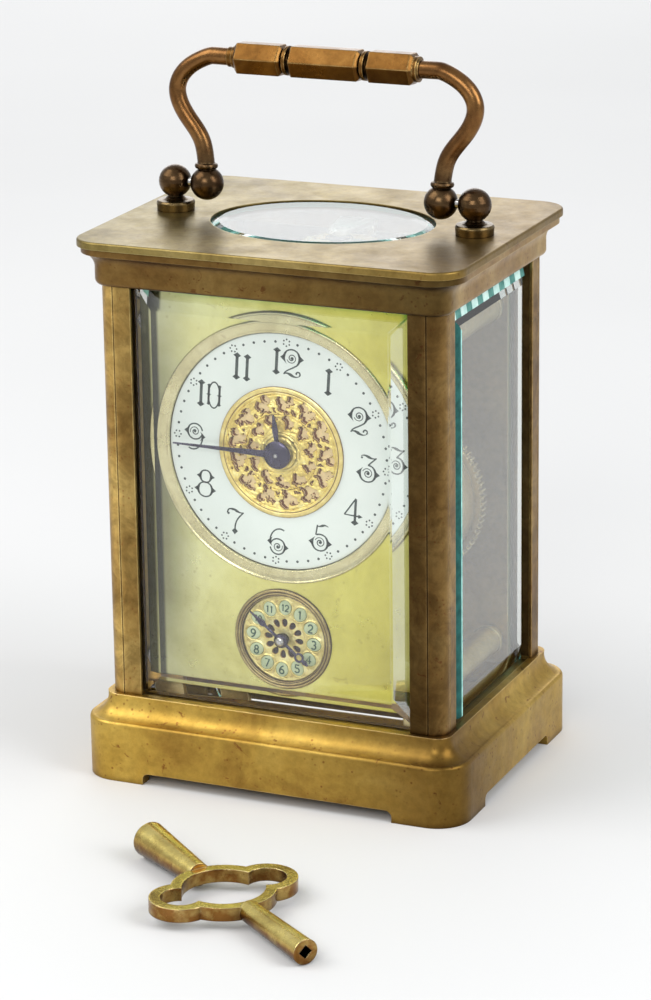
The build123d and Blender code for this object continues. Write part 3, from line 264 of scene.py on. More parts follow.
def mask_shade(t, base):
    """Painted reflection: grey-green at the left, deep yellow at the right, with a painted dark reflection
    down the left edge.
    """
    tint = t.across(t.axis("X"), (-29, (0.72, 0.76, 0.80)), (-15, (0.95, 0.98, 0.82)),
                    (0, (0.98, 0.98, 0.64)), (12, (0.90, 0.89, 0.42)), (29, (0.80, 0.78, 0.26)))
    base = t.tinted(base, tint)
    # Painted dark reflection down the left edge, strongest at mid height.
    strip = t.across(t.axis("X"), (-29, 0.34), (-24.7, 0.42), (-21.5, 0.70), (-18.0, 1.0))
    dark = t.across(t.axis("X"), (-29, 0.12), (-26.2, 0.18), (-25.6, 1.0))
    base = t.tinted(base, dark)
    middle = t.across(t.axis("Z"), (22, 0.35), (38, 0.9), (60, 1.0), (84, 0.7), (99, 0.15))
    return t.mix(middle, base, t.tinted(base, strip))


def post_shade(t, base):
    """The posts are darker than the arms, and the flange at the foot of each is rubbed to brass."""
    foot = t.across(t.axis("Z"), (112.7, 1.0), (113.4, 0.0))
    high = t.across(t.axis("Z"), (121.0, (0.55, 0.62, 0.74)), (128.0, (1.22, 1.14, 1.0)))
    base = t.tinted(base, high)
    rubbed = t.ramp(t.noise(260.0, 4.0, 0.6), (0.3, (0.09, 0.06, 0.026)), (0.7, (0.19, 0.135, 0.060)))
    return t.mix(foot, base, rubbed)


def key_shade(t, base):
    """Painted shade: the walls and the underside of the key are darker by the way they face, over their
    red-brown tarnish; its top keeps the plain colour.
    """
    normal = t.new("ShaderNodeTexCoord").outputs["Normal"]
    up = t.make("SeparateXYZ", Vector=normal).outputs["Z"]
    # Darker where the face turns sideways or down: painted shade.
    tone = t.ramp(up, (0.02, (0.32, 0.18, 0.13)), (0.30, (0.72, 0.62, 0.52)), (0.60, 1.0))
    patchy = t.ramp(t.noise(240.0, 5.0, 0.65), (0.34, 0.55), (0.56, 1.0))
    return t.mix(patchy, base, t.tinted(base, tone))


def steel(name, tint, light, scratch, rough=(0.16, 0.32)):
    """Polished steel with fine scratches, a little colour change, and paler edges that are partly wear and
    partly a painted highlight.
    """
    material, t, shader = new_material(name)
    long_grain = t.make("Mapping", Vector=t.where(), Scale=(900, 2600, 900)).outputs["Vector"]
    lines = t.noise(1.0, 3.0, 0.6, vector=long_grain)
    edge_wear_and_highlight_mask, rounded = edges_of(t, 0.0002)
    base = t.ramp(t.noise(240.0, 5.0, 0.6), (0.35, tint), (0.68, light))
    # Paler edges: wear and a painted highlight.
    base = t.mix(t.product(edge_wear_and_highlight_mask, 0.45), base, tuple(min(1.0, c * 1.8 + 0.08) for c in light))
    t.put(shader, Metallic=1.0, Base_Color=base, Roughness=t.ramp(lines, (0.3, rough[0]), (0.7, rough[1])),
          Normal=t.bump(lines, scratch, 0.0001, rounded))
    return material


def clear_glass(name, ior=1.52, tint=(1, 1, 1)):
    """Clear glass, sea-green through its thickness, that lets the lamps' light through."""
    material, t, shader = new_material(name)
    t.put(shader, Base_Color=tint + (1,), IOR=ior, Transmission_Weight=1.0, Roughness=0.0)
    path = t.new("ShaderNodeLightPath")
    lamps = t.math("MAXIMUM", path.outputs["Is Shadow Ray"], path.outputs["Is Diffuse Ray"])
    film = t.ramp(t.noise(80.0, 4.0, 0.6), (0.3, (0.965, 0.98, 0.975)), (0.7, (0.99, 0.995, 0.992)))
    through = t.make("BsdfTransparent", Color=film)
    both = t.new("ShaderNodeMixShader")
    for socket, source in zip(both.inputs, (lamps, shader.outputs[0], through.outputs[0])):
        t.link(source, socket)
    soak = t.make("VolumeAbsorption", Color=(0.30, 0.86, 0.76, 1), Density=5.0)
    t.put(material.node_tree.nodes["Material Output"], Surface=both.outputs[0], Volume=soak.outputs[0])
    return material


def ground_edge(name, low, high, glow):
    """Sea-green ground edge of a pane, with a painted glow for the light carried inside the glass; also the
    look of the painted reflections of such edges.
    """
    material, t, shader = new_material(name)
    tone = t.ramp(t.noise(500.0, 4.0, 0.6), (0.3, low), (0.7, high))
    t.put(shader, Base_Color=tone, Roughness=0.7, IOR=1.3, Emission_Color=tone, Emission_Strength=glow)
    return material


def enamel_material(name, low, high):
    """Glossy vitreous enamel with faint clouds and pinholes."""
    material, t, shader = new_material(name)
    tone = t.ramp(t.noise(60.0, 4.0, 0.5), (0.35, low), (0.65, high))
    pins = t.ramp(t.cells(900.0), (0.03, 0.0), (0.08, 1.0))
    tone = t.mix(t.product(t.math("SUBTRACT", 1.0, pins), 0.25), tone, (0.45, 0.43, 0.38))
    t.put(shader, Base_Color=tone, IOR=1.5, Normal=t.bump(t.noise(150.0, 2.0, 0.4), 0.05, 0.0004),
          Roughness=t.ramp(t.noise(400.0, 3.0, 0.5), (0.3, 0.10), (0.7, 0.16)))
    return material


def ink_material(name, colour):
    """Fired ink, a little uneven."""
    material, t, shader = new_material(name)
    tone = t.ramp(t.noise(1300.0, 3.0, 0.6), (0.35, colour), (0.70, tuple(c * 2.1 + 0.015 for c in colour)))
    t.put(shader, Base_Color=tone, Roughness=t.ramp(t.noise(800.0), (0.3, 0.27), (0.7, 0.45)))
    return material


# ---------------------------------------------------------------- materials
brass("base_brass", (0.27, 0.155, 0.034), (0.46, 0.31, 0.066), (0.58, 0.42, 0.105), (0.90, 0.74, 0.36),
      rough=(0.34, 0.50), patch=48.0, spots=0.70, shade=base_shade)
brass("column_brass", (0.17, 0.095, 0.030), (0.28, 0.175, 0.060), (0.40, 0.275, 0.105), (0.80, 0.60, 0.28),
      rough=(0.30, 0.48), patch=60.0, spots=0.6, shade=column_shade)
brass("cornice_brass", (0.22, 0.115, 0.040), (0.38, 0.235, 0.085), (0.52, 0.36, 0.145),
      (0.84, 0.62, 0.30), rough=(0.28, 0.44), patch=58.0, spots=0.65, shade=cornice_shade)
brass("top_brass", (0.22, 0.155, 0.050), (0.33, 0.245, 0.088), (0.41, 0.315, 0.130), (0.74, 0.60, 0.29),
      rough=(0.30, 0.44), patch=62.0, spots=0.6, spot_colour=(0.19, 0.10, 0.035), shade=top_shade)
brass("bronzed_brass", (0.075, 0.034, 0.014), (0.155, 0.078, 0.030), (0.29, 0.16, 0.062), (0.62, 0.38, 0.15),
      rough=(0.20, 0.34), patch=85.0, spots=0.25, edge=0.0003, edge_gain=0.6, shade=post_shade)
brass("grip_brass", (0.080, 0.035, 0.009), (0.155, 0.071, 0.017), (0.235, 0.120, 0.032), (0.74, 0.50, 0.19),
      rough=(0.24, 0.38), patch=75.0, spots=0.45, spot_colour=(0.07, 0.022, 0.008), edge=0.00045,
      edge_gain=0.85, dirt_and_shade=0.0014)
brass("mask_brass", (0.62, 0.56, 0.24), (0.80, 0.745, 0.38), (0.92, 0.88, 0.55), (0.97, 0.93, 0.62),
      rough=(0.27, 0.34), patch=42.0, spots=0.30, spot_colour=(0.36, 0.27, 0.09), dirt_and_shade=0.0010,
      bump=0.0, shade=mask_shade, grain=0.06)
RING_BRASS = brass("ring_brass", (0.52, 0.46, 0.24), (0.68, 0.61, 0.34), (0.80, 0.74, 0.46),
                   (0.96, 0.90, 0.62), rough=(0.20, 0.32), patch=90.0, spots=0.2, edge=0.0002, dirt_and_shade=0.0006,
                   bump=0.0, grain=0.08)
brass("polished_brass", (0.62, 0.52, 0.24), (0.78, 0.68, 0.36), (0.86, 0.78, 0.48), (0.97, 0.90, 0.62),
      rough=(0.16, 0.28), patch=80.0, spots=0.2, dirt_and_shade=0.0009, bump=0.04)
brass("movement_brass", (0.60, 0.45, 0.19), (0.74, 0.59, 0.28), (0.82, 0.69, 0.38), (0.92, 0.82, 0.50),
      rough=(0.30, 0.42), patch=70.0, spots=0.1, dirt_and_shade=0.0012, bump=0.02)
brass("silvered_brass", (0.60, 0.58, 0.50), (0.76, 0.74, 0.67), (0.86, 0.84, 0.78), (0.95, 0.93, 0.88),
      rough=(0.24, 0.36), patch=90.0, spots=0.1, dirt_and_shade=0.0012, bump=0.03)
brass("bell_metal", (0.50, 0.45, 0.34), (0.70, 0.65, 0.52), (0.80, 0.76, 0.64), (0.93, 0.90, 0.80),
      rough=(0.14, 0.26), patch=60.0, spots=0.15, dirt_and_shade=0.0016, bump=0.03)
brass("gilt", (0.74, 0.54, 0.19), (0.92, 0.73, 0.32), (0.97, 0.84, 0.48), (1.0, 0.93, 0.66),
      rough=(0.26, 0.38), patch=160.0, spots=0.12, spot_colour=(0.55, 0.22, 0.05), dirt_and_shade=0.0006,
      edge=0.00012, bump=0.15, metal=0.75)
brass("key_brass", (0.39, 0.27, 0.072), (0.72, 0.58, 0.185), (0.92, 0.77, 0.31), (1.0, 0.93, 0.54),
      rough=(0.20, 0.34), patch=110.0, spots=0.5, spot_colour=(0.16, 0.055, 0.022), edge=0.0004,
      edge_gain=0.95, dirt_and_shade=0.0055, dirt_and_shade_colour=(0.085, 0.032, 0.018), bump=0.03, shade=key_shade, grain=0.12)
steel("blued_steel", (0.034, 0.030, 0.050), (0.095, 0.085, 0.140), scratch=0.0, rough=(0.22, 0.30))
STEEL = steel("steel", (0.46, 0.45, 0.44), (0.60, 0.59, 0.58), scratch=0.02)
GLASS = clear_glass("bevelled_glass")
SIDE_PRISM = clear_glass("bevelled_glass_side", ior=2.05)
TOP_PRISM = clear_glass("bevelled_glass_top", ior=1.66)
SIDE_FLAT = clear_glass("side_glass", ior=1.85, tint=(0.80, 0.81, 0.79))
OVAL_GLASS = clear_glass("oval_glass", ior=1.40, tint=(0.64, 0.65, 0.65))
# Glass edge looks: the glow is a painted glow, and the dark and glint looks are painted reflections of the
# ground edges.
GLOWING_GROUND_EDGE = ground_edge("ground_glass_edge", (0.16, 0.44, 0.40), (0.42, 0.78, 0.72), 0.25)
PAINTED_DARK_EDGE_REFLECTION = ground_edge("deep_glass_edge", (0.006, 0.050, 0.045), (0.020, 0.130, 0.115), 0.05)
PAINTED_GLINT = ground_edge("glint_glass_edge", (0.36, 0.60, 0.55), (0.62, 0.80, 0.75), 0.20)
PAINTED_DARK_TOP_DASH = ground_edge("top_glass_edge", (0.05, 0.17, 0.15), (0.14, 0.34, 0.30), 0.10)
SEATED = ground_edge("seated_glass_edge", (0.030, 0.034, 0.018), (0.10, 0.10, 0.052), 0.0)
ENAMEL = enamel_material("enamel", (0.73, 0.77, 0.715), (0.79, 0.825, 0.77))
INK = ink_material("dial_ink", (0.010, 0.022, 0.017))
TRACK_INK = ink_material("track_ink", (0.022, 0.030, 0.026))

for part in frame["record"]["subparts"]:
    node = frame["nodes"][part["node"]]
    node.data.materials.clear()
    node.data.materials.append(MATERIALS[part["material_slot"]])


# ---------------------------------------------------------------- piece helpers
def make_piece(name, points, faces, material, body="case", smooth=False):
    """Mesh piece from points in millimetres, riding on a body."""
    mesh = bpy.data.meshes.new(name)
    mesh.from_pydata([tuple(c * MM for c in p) for p in points], [], faces)
    mesh.validate()
    work = bmesh.new()
    work.from_mesh(mesh)
    bmesh.ops.recalc_face_normals(work, faces=work.faces)
    work.to_mesh(mesh)
    work.free()
    mesh.polygons.foreach_set("use_smooth", [smooth] * len(mesh.polygons))
    mesh.materials.append(material)
    piece = bpy.data.objects.new(name, mesh)
    bpy.context.scene.collection.objects.link(piece)
    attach(piece, body)
    return piece


def turned(name, profile, centre, around, material, body="case"):
    """Smooth ring about a line along Y, from a closed loop of (y, radius) points."""
    points, faces, n = [], [], len(profile)
    for i in range(around):
        a = 2 * math.pi * i / around
        points += [(centre[0] + r * math.cos(a), y, centre[1] + r * math.sin(a)) for y, r in profile]
        here, beside = i * n, (i + 1) % around * n
        for j in range(n):
            k = (j + 1) % n
            faces.append((here + j, here + k, beside + k, beside + j))
    return make_piece(name, points, faces, material, body, True)


def crisp(piece, degrees):
    """Keeps the edges of a smooth piece that turn by more than this."""
    piece.modifiers.new("edges", "EDGE_SPLIT").split_angle = math.radians(degrees)


def paint(piece, more, looks):
    """Adds materials to a piece's first one, and gives each face one by its number."""
    for material in more:
        piece.data.materials.append(material)
    for face, look in zip(piece.data.polygons, looks):
        face.material_index = look


def on_dial(centre, x, z):
    """Place of a dial's own (x, z) in the row frame, with the dial's turn."""
    c, s = math.cos(DIAL_TURN), math.sin(DIAL_TURN)
    return centre[0] + c * x - s * z, centre[1] + s * x + c * z


def clock_place(radius, degrees):
    """A dial's own (x, z) at this many degrees clockwise from 12."""
    a = math.radians(90 - degrees)
    return radius * math.cos(a), radius * math.sin(a)


class Inlay:
    """Thin flat figures on a dial, drawn in millimetres about its centre, turned with it."""

    def __init__(self, centre, front, thick):
        self.centre, self.front, self.back = centre, front, front + thick
        self.points, self.faces = [], []

    def solid(self, outline, at=(0, 0), scale=1.0, fans=None):
        """Adds a plate with this outline; fans lists its front faces by index if it isn't convex."""
        base, n = len(self.points), len(outline)
        for y in (self.front, self.back):
            for px, pz in outline:
                x, z = on_dial(self.centre, at[0] + px * scale, at[1] + pz * scale)
                self.points.append((x, y, z))
        for face in fans or [tuple(range(n))]:
            self.faces.append(tuple(base + i for i in face))
            self.faces.append(tuple(base + n + i for i in reversed(face)))
        for i in range(n):
            j = (i + 1) % n
            self.faces.append((base + i, base + j, base + n + j, base + n + i))

    def stroke(self, route, widths, at=(0, 0), scale=1.0):
        """Ribbon along a route, with a width at each point or one for all."""
        n = len(route)
        if isinstance(widths, (int, float)):
            widths = [widths] * n
        left, right = [], []
        for i, (x, z) in enumerate(route):
            ax, az = route[max(0, i - 1)]
            bx, bz = route[min(n - 1, i + 1)]
            length = math.hypot(bx - ax, bz - az) or 1.0
            nx, nz = -(bz - az) / length, (bx - ax) / length
            w = widths[i] / 2
            left.append((x + nx * w, z + nz * w))
            right.append((x - nx * w, z - nz * w))
        fans = [(i, i + 1, 2 * n - 2 - i, 2 * n - 1 - i) for i in range(n - 1)]
        self.solid(left + right[::-1], at, scale, fans)

    def dot(self, radius, at, sides=12):
        self.solid([(radius * math.cos(2 * math.pi * i / sides), radius * math.sin(2 * math.pi * i / sides))
                    for i in range(sides)], at)

    def done(self, name, material):
        make_piece(name, self.points, self.faces, material)


def arc(cx, cz, rx, rz, start, end, steps=22):
    return [(cx + rx * math.cos(math.radians(start + (end - start) * i / steps)),
             cz + rz * math.sin(math.radians(start + (end - start) * i / steps))) for i in range(steps + 1)]


def curl(cx, cz, r0, r1, start, turns):
    """Spiral from radius r0 to r1."""
    out, steps = [], 30
    for i in range(steps + 1):
        f = i / steps
        a = math.radians(start + 360 * turns * f)
        r = r0 + (r1 - r0) * f
        out.append((cx + r * math.cos(a), cz + r * math.sin(a)))
    return out


def bezier(*p, steps=16):
    """Cubic curve through its control points."""
    out = []
    for i in range(steps + 1):
        t = i / steps
        w = ((1 - t) ** 3, 3 * t * (1 - t) ** 2, 3 * t * t * (1 - t), t ** 3)
        out.append(tuple(sum(w[k] * p[k][c] for k in range(4)) for c in (0, 1)))
    return out


def swell(n, thin, thick, peak=0.5):
    """Widths that swell from thin to thick and back."""
    out = []
    for i in range(n):
        f = i / (n - 1)
        g = f / peak if f < peak else (1 - f) / (1 - peak)
        out.append(thin + (thick - thin) * max(0.0, g) ** 1.3)
    return out


# ---------------------------------------------------------------- glass panes
FRONT_LOW, FRONT_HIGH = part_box("front_glass")
SIDE_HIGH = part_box("right_glass")[1]
GLASS_LOW, GLASS_HIGH = FRONT_LOW.z / MM, FRONT_HIGH.z / MM
FRONT_HALF, FRONT_Y = FRONT_HIGH.x / MM, FRONT_LOW.y / MM
SIDE_HALF, SIDE_X = SIDE_HIGH.y / MM, SIDE_HIGH.x / MM
PANE_THICK, BEVEL, FRONT_DROP, SIDE_DROP = 3.2, 4.9, 2.6, 2.0
FRONT_STRIP, SIDE_STRIP = 6.0, 5.5
LET_IN = 0.8  # how deep a pane's edge sits in its groove
DASHES, DASHES_FROM = 7, 1.6


def pane(name, node, place, half, drop, strip, strip_looks, flat, edge):
    """Pane with four mitred bevels on its outer face; place turns (across, depth, up) into a point.

    The back face has a strip behind each bevel (left, right, bottom, top) with a look of its own.
    """
    def corners(depth, inset):
        side, low, high = half - inset, GLASS_LOW + inset, GLASS_HIGH - inset
        return [place(u, depth, v) for u, v in ((-side, low), (side, low), (side, high), (-side, high))]

    points = corners(0, BEVEL) + corners(drop, 0) + corners(PANE_THICK, 0) + corners(PANE_THICK, strip)
    faces = [(0, 1, 2, 3), (12, 13, 14, 15)]
    looks = [0, 0]
    for i, side in enumerate((2, 1, 3, 0)):
        j = (i + 1) % 4
        faces += [(k + i, k + j, k + 4 + j, k + 4 + i) for k in (0, 4, 8)]
        looks += [0, 1, strip_looks[side]]
    made = make_piece(name, points, faces, flat)
    paint(made, (edge, SIDE_PRISM, TOP_PRISM), looks)
    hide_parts(node)


def on_bevel(side, from_edge, lift):
    """X of the outer face of a side pane, at a distance from the edge of the pane."""
    return side * (SIDE_X - SIDE_DROP * max(0.0, 1 - from_edge / BEVEL) + lift)


def bar_faces(base, sections):
    """Faces of a bar through sections of four points each, from the point base on."""
    end = base + 4 * (sections - 1)
    faces = [(base, base + 2, base + 3, base + 1), (end, end + 1, end + 3, end + 2)]
    for k in range(base, end, 4):
        faces += [(k, k + 1, k + 5, k + 4), (k + 2, k + 6, k + 7, k + 3), (k, k + 4, k + 6, k + 2),
                  (k + 1, k + 3, k + 7, k + 5)]
    return faces


def edge_lights(side, name):
    """Painted reflections and glints of the ground edges on the bevels of a side pane: lines in front, dashes
    on top.
    """
    for part, stops, look in (("deep", (3.2, BEVEL, 5.6), PAINTED_DARK_EDGE_REFLECTION), ("bright", (5.6, 6.1), GLOWING_GROUND_EDGE)):
        points = [(on_bevel(side, inset, lift), inset - SIDE_HALF, z) for inset in stops
                  for lift in (0.06, 0.02) for z in (GLASS_LOW + 1.0, GLASS_HIGH - inset)]
        make_piece(f"{name}_edge_{part}", points, bar_faces(0, len(stops)), look)
    step = 2 * (SIDE_HALF - DASHES_FROM) / DASHES
    # Dark dashes along the top bevel, with painted glints on them.
    for part, start, share, lifts, look in (("dark", 0.0, 1.0, (0.05, 0.02), PAINTED_DARK_TOP_DASH),
                                            ("glint", 0.10, 0.52, (0.09, 0.06), PAINTED_GLINT)):
        points, faces = [], []
        for i in range(DASHES):
            faces += bar_faces(len(points), 2)
            for lift in lifts:
                for inset, lean in ((LET_IN, 0.9), (BEVEL - 1.3, -0.7)):
                    for along in (start, start + share):
                        y = -SIDE_HALF + DASHES_FROM + (i + along) * step + lean
                        y = max(-SIDE_HALF + 1.0, min(SIDE_HALF - 1.0, y))
                        points.append((on_bevel(side, inset, lift), y, GLASS_HIGH - inset))
        make_piece(f"{name}_bevel_{part}", points, faces, look)


def oval_pane():
    """Oval glass of the top: flange under the plate, sea-green ground edge with a painted glow, narrow bevel,
    flat face.
    """
    low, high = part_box("top_glass")
    flange, around, ground_rings = 1.5, 96, 3
    half_x, half_y, bottom, top = high.x / MM - flange, high.y / MM - flange, low.z / MM, high.z / MM
    rings = ((bottom, flange), (bottom + 1.7, flange), (bottom + 1.7, -0.2), (top - 0.55, -0.2), (top, -1.7))
    points, faces, looks = [], [], []
    for z, wider in rings:
        for i in range(around):
            a = 2 * math.pi * i / around
            points.append(((half_x + wider) * math.cos(a), (half_y + wider) * math.sin(a), z))
    for ring in range(len(rings) - 1):
        k = ring * around
        for i in range(around):
            j = (i + 1) % around
            faces.append((k + i, k + j, k + around + j, k + around + i))
            looks.append(1 if ring < ground_rings else 0)
    faces += [tuple(range(around)), tuple(range((len(rings) - 1) * around, len(rings) * around))]
    made = make_piece("oval_pane", points, faces, OVAL_GLASS)
    paint(made, (GLOWING_GROUND_EDGE,), looks + [0, 0])
    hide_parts("top_glass")


SIDES = ((1, "right"), (-1, "left"))
pane("front_pane", "front_glass", lambda u, d, v: (u, FRONT_Y + d, v), FRONT_HALF, FRONT_DROP, FRONT_STRIP,
     (0, 2, 0, 3), GLASS, SEATED)
for side, name in SIDES:
    # The side panes' ground edges carry the painted glow.
    pane(f"{name}_pane", f"{name}_glass", lambda u, d, v: (side * (SIDE_X - d), u, v), SIDE_HALF, SIDE_DROP,
         SIDE_STRIP, (0, 2, 0, 0), SIDE_FLAT, GLOWING_GROUND_EDGE)
for side, name in SIDES:
    edge_lights(side, name)
oval_pane()


# ---------------------------------------------------------------- numerals
HAIR = 0.29
NUMERAL_R, TRACK_R = 18.35, 22.3


def fan(n):
    """Front faces of a plate whose last point, n, sees all the others."""
    return [(i, i + 1, n) for i in range(n - 1)]


def wedge(inlay, at, cx, cz, rx, rz, side, reach, half):
    """Pointed swelling on the left (-1) or right (+1) of a bowl."""
    mid = 0 if side > 0 else 180
    rim = arc(cx, cz, rx - 0.34, rz, mid - half, mid + half, 14)
    inlay.solid(rim + [(cx + side * (rx + reach + 0.22), cz)], at, 1.0, fan(len(rim)))


def flag(inlay, at, thick, *controls, thin=0.14):
    """Curved stroke that swells in its middle."""
    inlay.stroke(bezier(*controls), swell(17, thin, thick), at)


def inner_curl(inlay, at, x, z, reach, start, turns, flip=1):
    """Curl inside a bowl, round a ball at (x, z)."""
    route = [(flip * u, flip * v) for u, v in curl(x, z, reach, 0.12, start, turns)]
    inlay.stroke(route, swell(31, 0.15, 0.27, 0.9), at)
    inlay.dot(0.26, (at[0] + flip * x, at[1] + flip * z))


def bar(inlay, at, x, low, high, width=0.62, ends=(True, True)):
    inlay.stroke([(x, low), (x, high)], width, at)
    for end, shown in ((low, ends[0]), (high, ends[1])):
        if shown:
            inlay.solid([(x - 0.82, end), (x, end - 0.58), (x + 0.82, end), (x, end + 0.58)], at)


def bowl(inlay, at, cx, cz, rx, rz, first=0, last=360, wedges=((-1, 0.45), (1, 0.45)), half=44):
    inlay.stroke(arc(cx, cz, rx, rz, first, last, 30), HAIR, at)
    for side, reach in wedges:
        wedge(inlay, at, cx, cz, rx, rz, side, reach, half)


def draw_digit(inlay, digit, at):
    if digit == "1":
        bar(inlay, at, 0, -2.2, 2.2)
    elif digit == "0":
        inlay.stroke(arc(0, 0, 1.2, 2.65, 0, 360, 40), HAIR, at)
        for x in (-1.15, 1.15):
            inlay.stroke([(x, -1.9), (x, 1.9)], 0.46, at)
            inlay.solid([(x - 0.5, 0), (x, -0.3), (x + 0.5, 0), (x, 0.3)], at)
            for z in (-1.9, 1.9):
                inlay.solid([(x - 0.42, z), (x, z - 0.3), (x + 0.42, z), (x, z + 0.3)], at)
    elif digit == "2":
        bowl(inlay, at, 0, 1.0, 1.75, 1.75, -62, 190, ((-1, 0.45), (1, 0.6)))
        inner_curl(inlay, at, 0.0, 1.0, 1.05, 200, 1.75)
        flag(inlay, at, 0.26, (0.8, -0.55), (-0.2, -1.3), (-1.2, -1.5), (-1.5, -2.4), thin=HAIR)
        flag(inlay, at, 0.62, (-1.5, -2.35), (-0.4, -1.5), (0.3, -3.2), (1.7, -2.45))
        inlay.stroke(arc(1.5, -2.0, 0.42, 0.42, -60, 180, 12), HAIR, at)
        inlay.dot(0.2, (at[0] + 1.12, at[1] - 1.95))
    elif digit == "3":
        bowl(inlay, at, 0, -1.05, 1.75, 1.7, -180, 90, ((-1, 0.45), (1, 0.6)))
        inner_curl(inlay, at, 0.0, -1.05, 1.1, 160, -1.75)
        flag(inlay, at, 0.55, (-1.5, 2.35), (-0.5, 3.1), (0.4, 1.6), (1.7, 2.35))
        inlay.stroke([(1.65, 2.3), (0.0, 0.62)], HAIR, at)
        inlay.dot(0.22, (at[0] - 1.35, at[1] + 2.05))
    elif digit == "4":
        bar(inlay, at, 0.35, -2.35, 2.5, 0.5, (True, False))
        inlay.stroke([(0.35, 2.6), (-1.9, -0.95)], HAIR, at)
        inlay.stroke([(-1.95, -0.95), (1.3, -0.95)], [0.2, 0.34], at)
        inlay.solid([(1.1, -1.35), (1.95, -0.95), (1.1, -0.55), (0.95, -0.95)], at)
    elif digit == "5":
        bowl(inlay, at, 0, -1.05, 1.75, 1.7, -180, 118, ((-1, 0.45), (1, 0.6)))
        inner_curl(inlay, at, 0.0, -1.05, 1.1, 160, -1.75)
        inlay.stroke([(-0.95, 0.4), (-0.7, 2.5)], HAIR, at)
        flag(inlay, at, 0.5, (-0.75, 2.3), (0.1, 2.0), (0.6, 3.1), (1.6, 2.4))
    elif digit in "69":
        flip = 1 if digit == "6" else -1

        def place(route):
            return [(flip * x, flip * z) for x, z in route]

        stem = bezier((1.5, 2.35), (0.2, 3.2), (-1.7, 1.9), (-1.4, -0.6))
        inlay.stroke(place(arc(0.25, -1.1, 1.6, 1.6, -170, 170, 30)), HAIR, at)
        inlay.stroke(place(stem), swell(17, HAIR, 0.28), at)
        for side, mid, reach, cx, z, rx in ((1, 0, 0.6, 0.25, -1.1, 1.32), (-1, 180, 0.55, 0.3, -0.2, 1.5)):
            rim = arc(cx, z, rx, 1.6, mid - 40, mid + 40, 14)
            inlay.solid(place(rim + [(0.25 + side * (1.75 + reach), z)]), at, 1.0, fan(len(rim)))
        inner_curl(inlay, at, 0.25, -1.1, 1.05, 20, -1.6, flip)
    elif digit == "7":
        inlay.stroke(bezier((-1.7, 1.5), (-1.6, 2.6), (-0.9, 2.5), (-0.4, 2.25)), HAIR, at)
        flag(inlay, at, 0.55, (-1.3, 2.3), (-0.2, 3.0), (0.5, 1.5), (1.8, 2.05))
        flag(inlay, at, 0.30, (1.75, 2.0), (0.8, 0.9), (0.0, 0.2), (0.1, -1.9), thin=HAIR)
        inlay.dot(0.26, (at[0] - 1.45, at[1] + 1.45))
        inlay.solid([(-0.55, -2.0), (0.1, -2.75), (0.75, -2.0), (0.1, -1.4)], at)
    elif digit == "8":
        bowl(inlay, at, 0, 1.4, 1.25, 1.25, 0, 360, ((-1, 0.5), (1, 0.5)), 42)
        bowl(inlay, at, 0, -1.3, 1.6, 1.5, 0, 360, ((-1, 0.55), (1, 0.55)), 42)


def draw_small(inlay, digit, at, size):
    """Plain bold digit for the alarm dial."""
    routes = {
        "0": [arc(0, 0, 0.42, 0.8, 0, 360, 20)],
        "1": [[(-0.25, 0.55), (0.05, 0.85)], [(0.05, 0.85), (0.05, -0.85)]],
        "2": [arc(0, 0.35, 0.45, 0.48, 170, -40, 12) + [(-0.45, -0.8)], [(-0.5, -0.8), (0.5, -0.8)]],
        "3": [arc(0, 0.4, 0.42, 0.42, 150, -90, 12), arc(0, -0.4, 0.48, 0.44, 90, -150, 12)],
        "4": [[(0.2, -0.85), (0.2, 0.85), (-0.5, -0.3), (0.55, -0.3)]],
        "5": [[(0.42, 0.8), (-0.35, 0.8), (-0.38, 0.1)], arc(0, -0.32, 0.48, 0.48, 130, -150, 14)],
        "6": [arc(0, -0.35, 0.45, 0.46, 0, 360, 18),
              bezier((0.35, 0.85), (-0.2, 0.75), (-0.5, 0.1), (-0.45, -0.4), steps=8)],
        "7": [[(-0.45, 0.8), (0.5, 0.8), (-0.1, -0.85)]],
        "8": [arc(0, 0.42, 0.36, 0.38, 0, 360, 18), arc(0, -0.42, 0.45, 0.43, 0, 360, 18)],
        "9": [arc(0, 0.35, 0.45, 0.46, 0, 360, 18),
              bezier((0.45, 0.35), (0.5, -0.1), (0.2, -0.75), (-0.35, -0.85), steps=8)],
    }[digit]
    for route in routes:
        inlay.stroke(route, 0.30, at, size)


numerals = Inlay(DIAL, ENAMEL_FRONT - 0.03, 0.04)
for hour in range(1, 13):
    x, z = clock_place(NUMERAL_R, 30 * hour)
    digits = str(hour)
    shifts = {"10": (-1.75, 1.05), "11": (-1.1, 1.1), "12": (-1.9, 1.25)}.get(digits, (0.0,))
    for digit, shift in zip(digits, shifts):
        draw_digit(numerals, digit, (x + shift, z))
numerals.done("dial_numerals", INK)

track = Inlay(DIAL, ENAMEL_FRONT - 0.02, 0.03)
for minute in range(60):
    x, z = clock_place(TRACK_R, 6 * minute)
    if minute % 5:
        track.dot(0.27, (x, z))
    else:
        for k in range(6):
            dx, dz = clock_place(0.68, 6 * minute - 60 * k)
            track.dot(0.19, (x + dx, z + dz), 8)
track.done("minute_track", TRACK_INK)

# ---------------------------------------------------------------- enamel dial
rim = [(-19.82, 23.95), (-20.2, 23.98), (-20.45, 23.86), (-20.56, 23.6), (ENAMEL_FRONT, 23.1),
       (ENAMEL_FRONT, 13.0), (-20.5, 12.75), (-19.82, 12.7)]
enamel = turned("enamel_chapter_ring", rim, DIAL, 160, ENAMEL)
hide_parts("enamel_dial")
crisp(enamel, 40)


# ---------------------------------------------------------------- relief work
RINGS, AROUND = ((110, 420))
GILT_LOW, GILT_HIGH, FLOOR_LEVEL = -19.72, -20.97, 0.30
ALARM_LOW, ALARM_HIGH = -20.55, -21.12
CARTOUCHE_R, PETAL_R = 6.55, 3.3


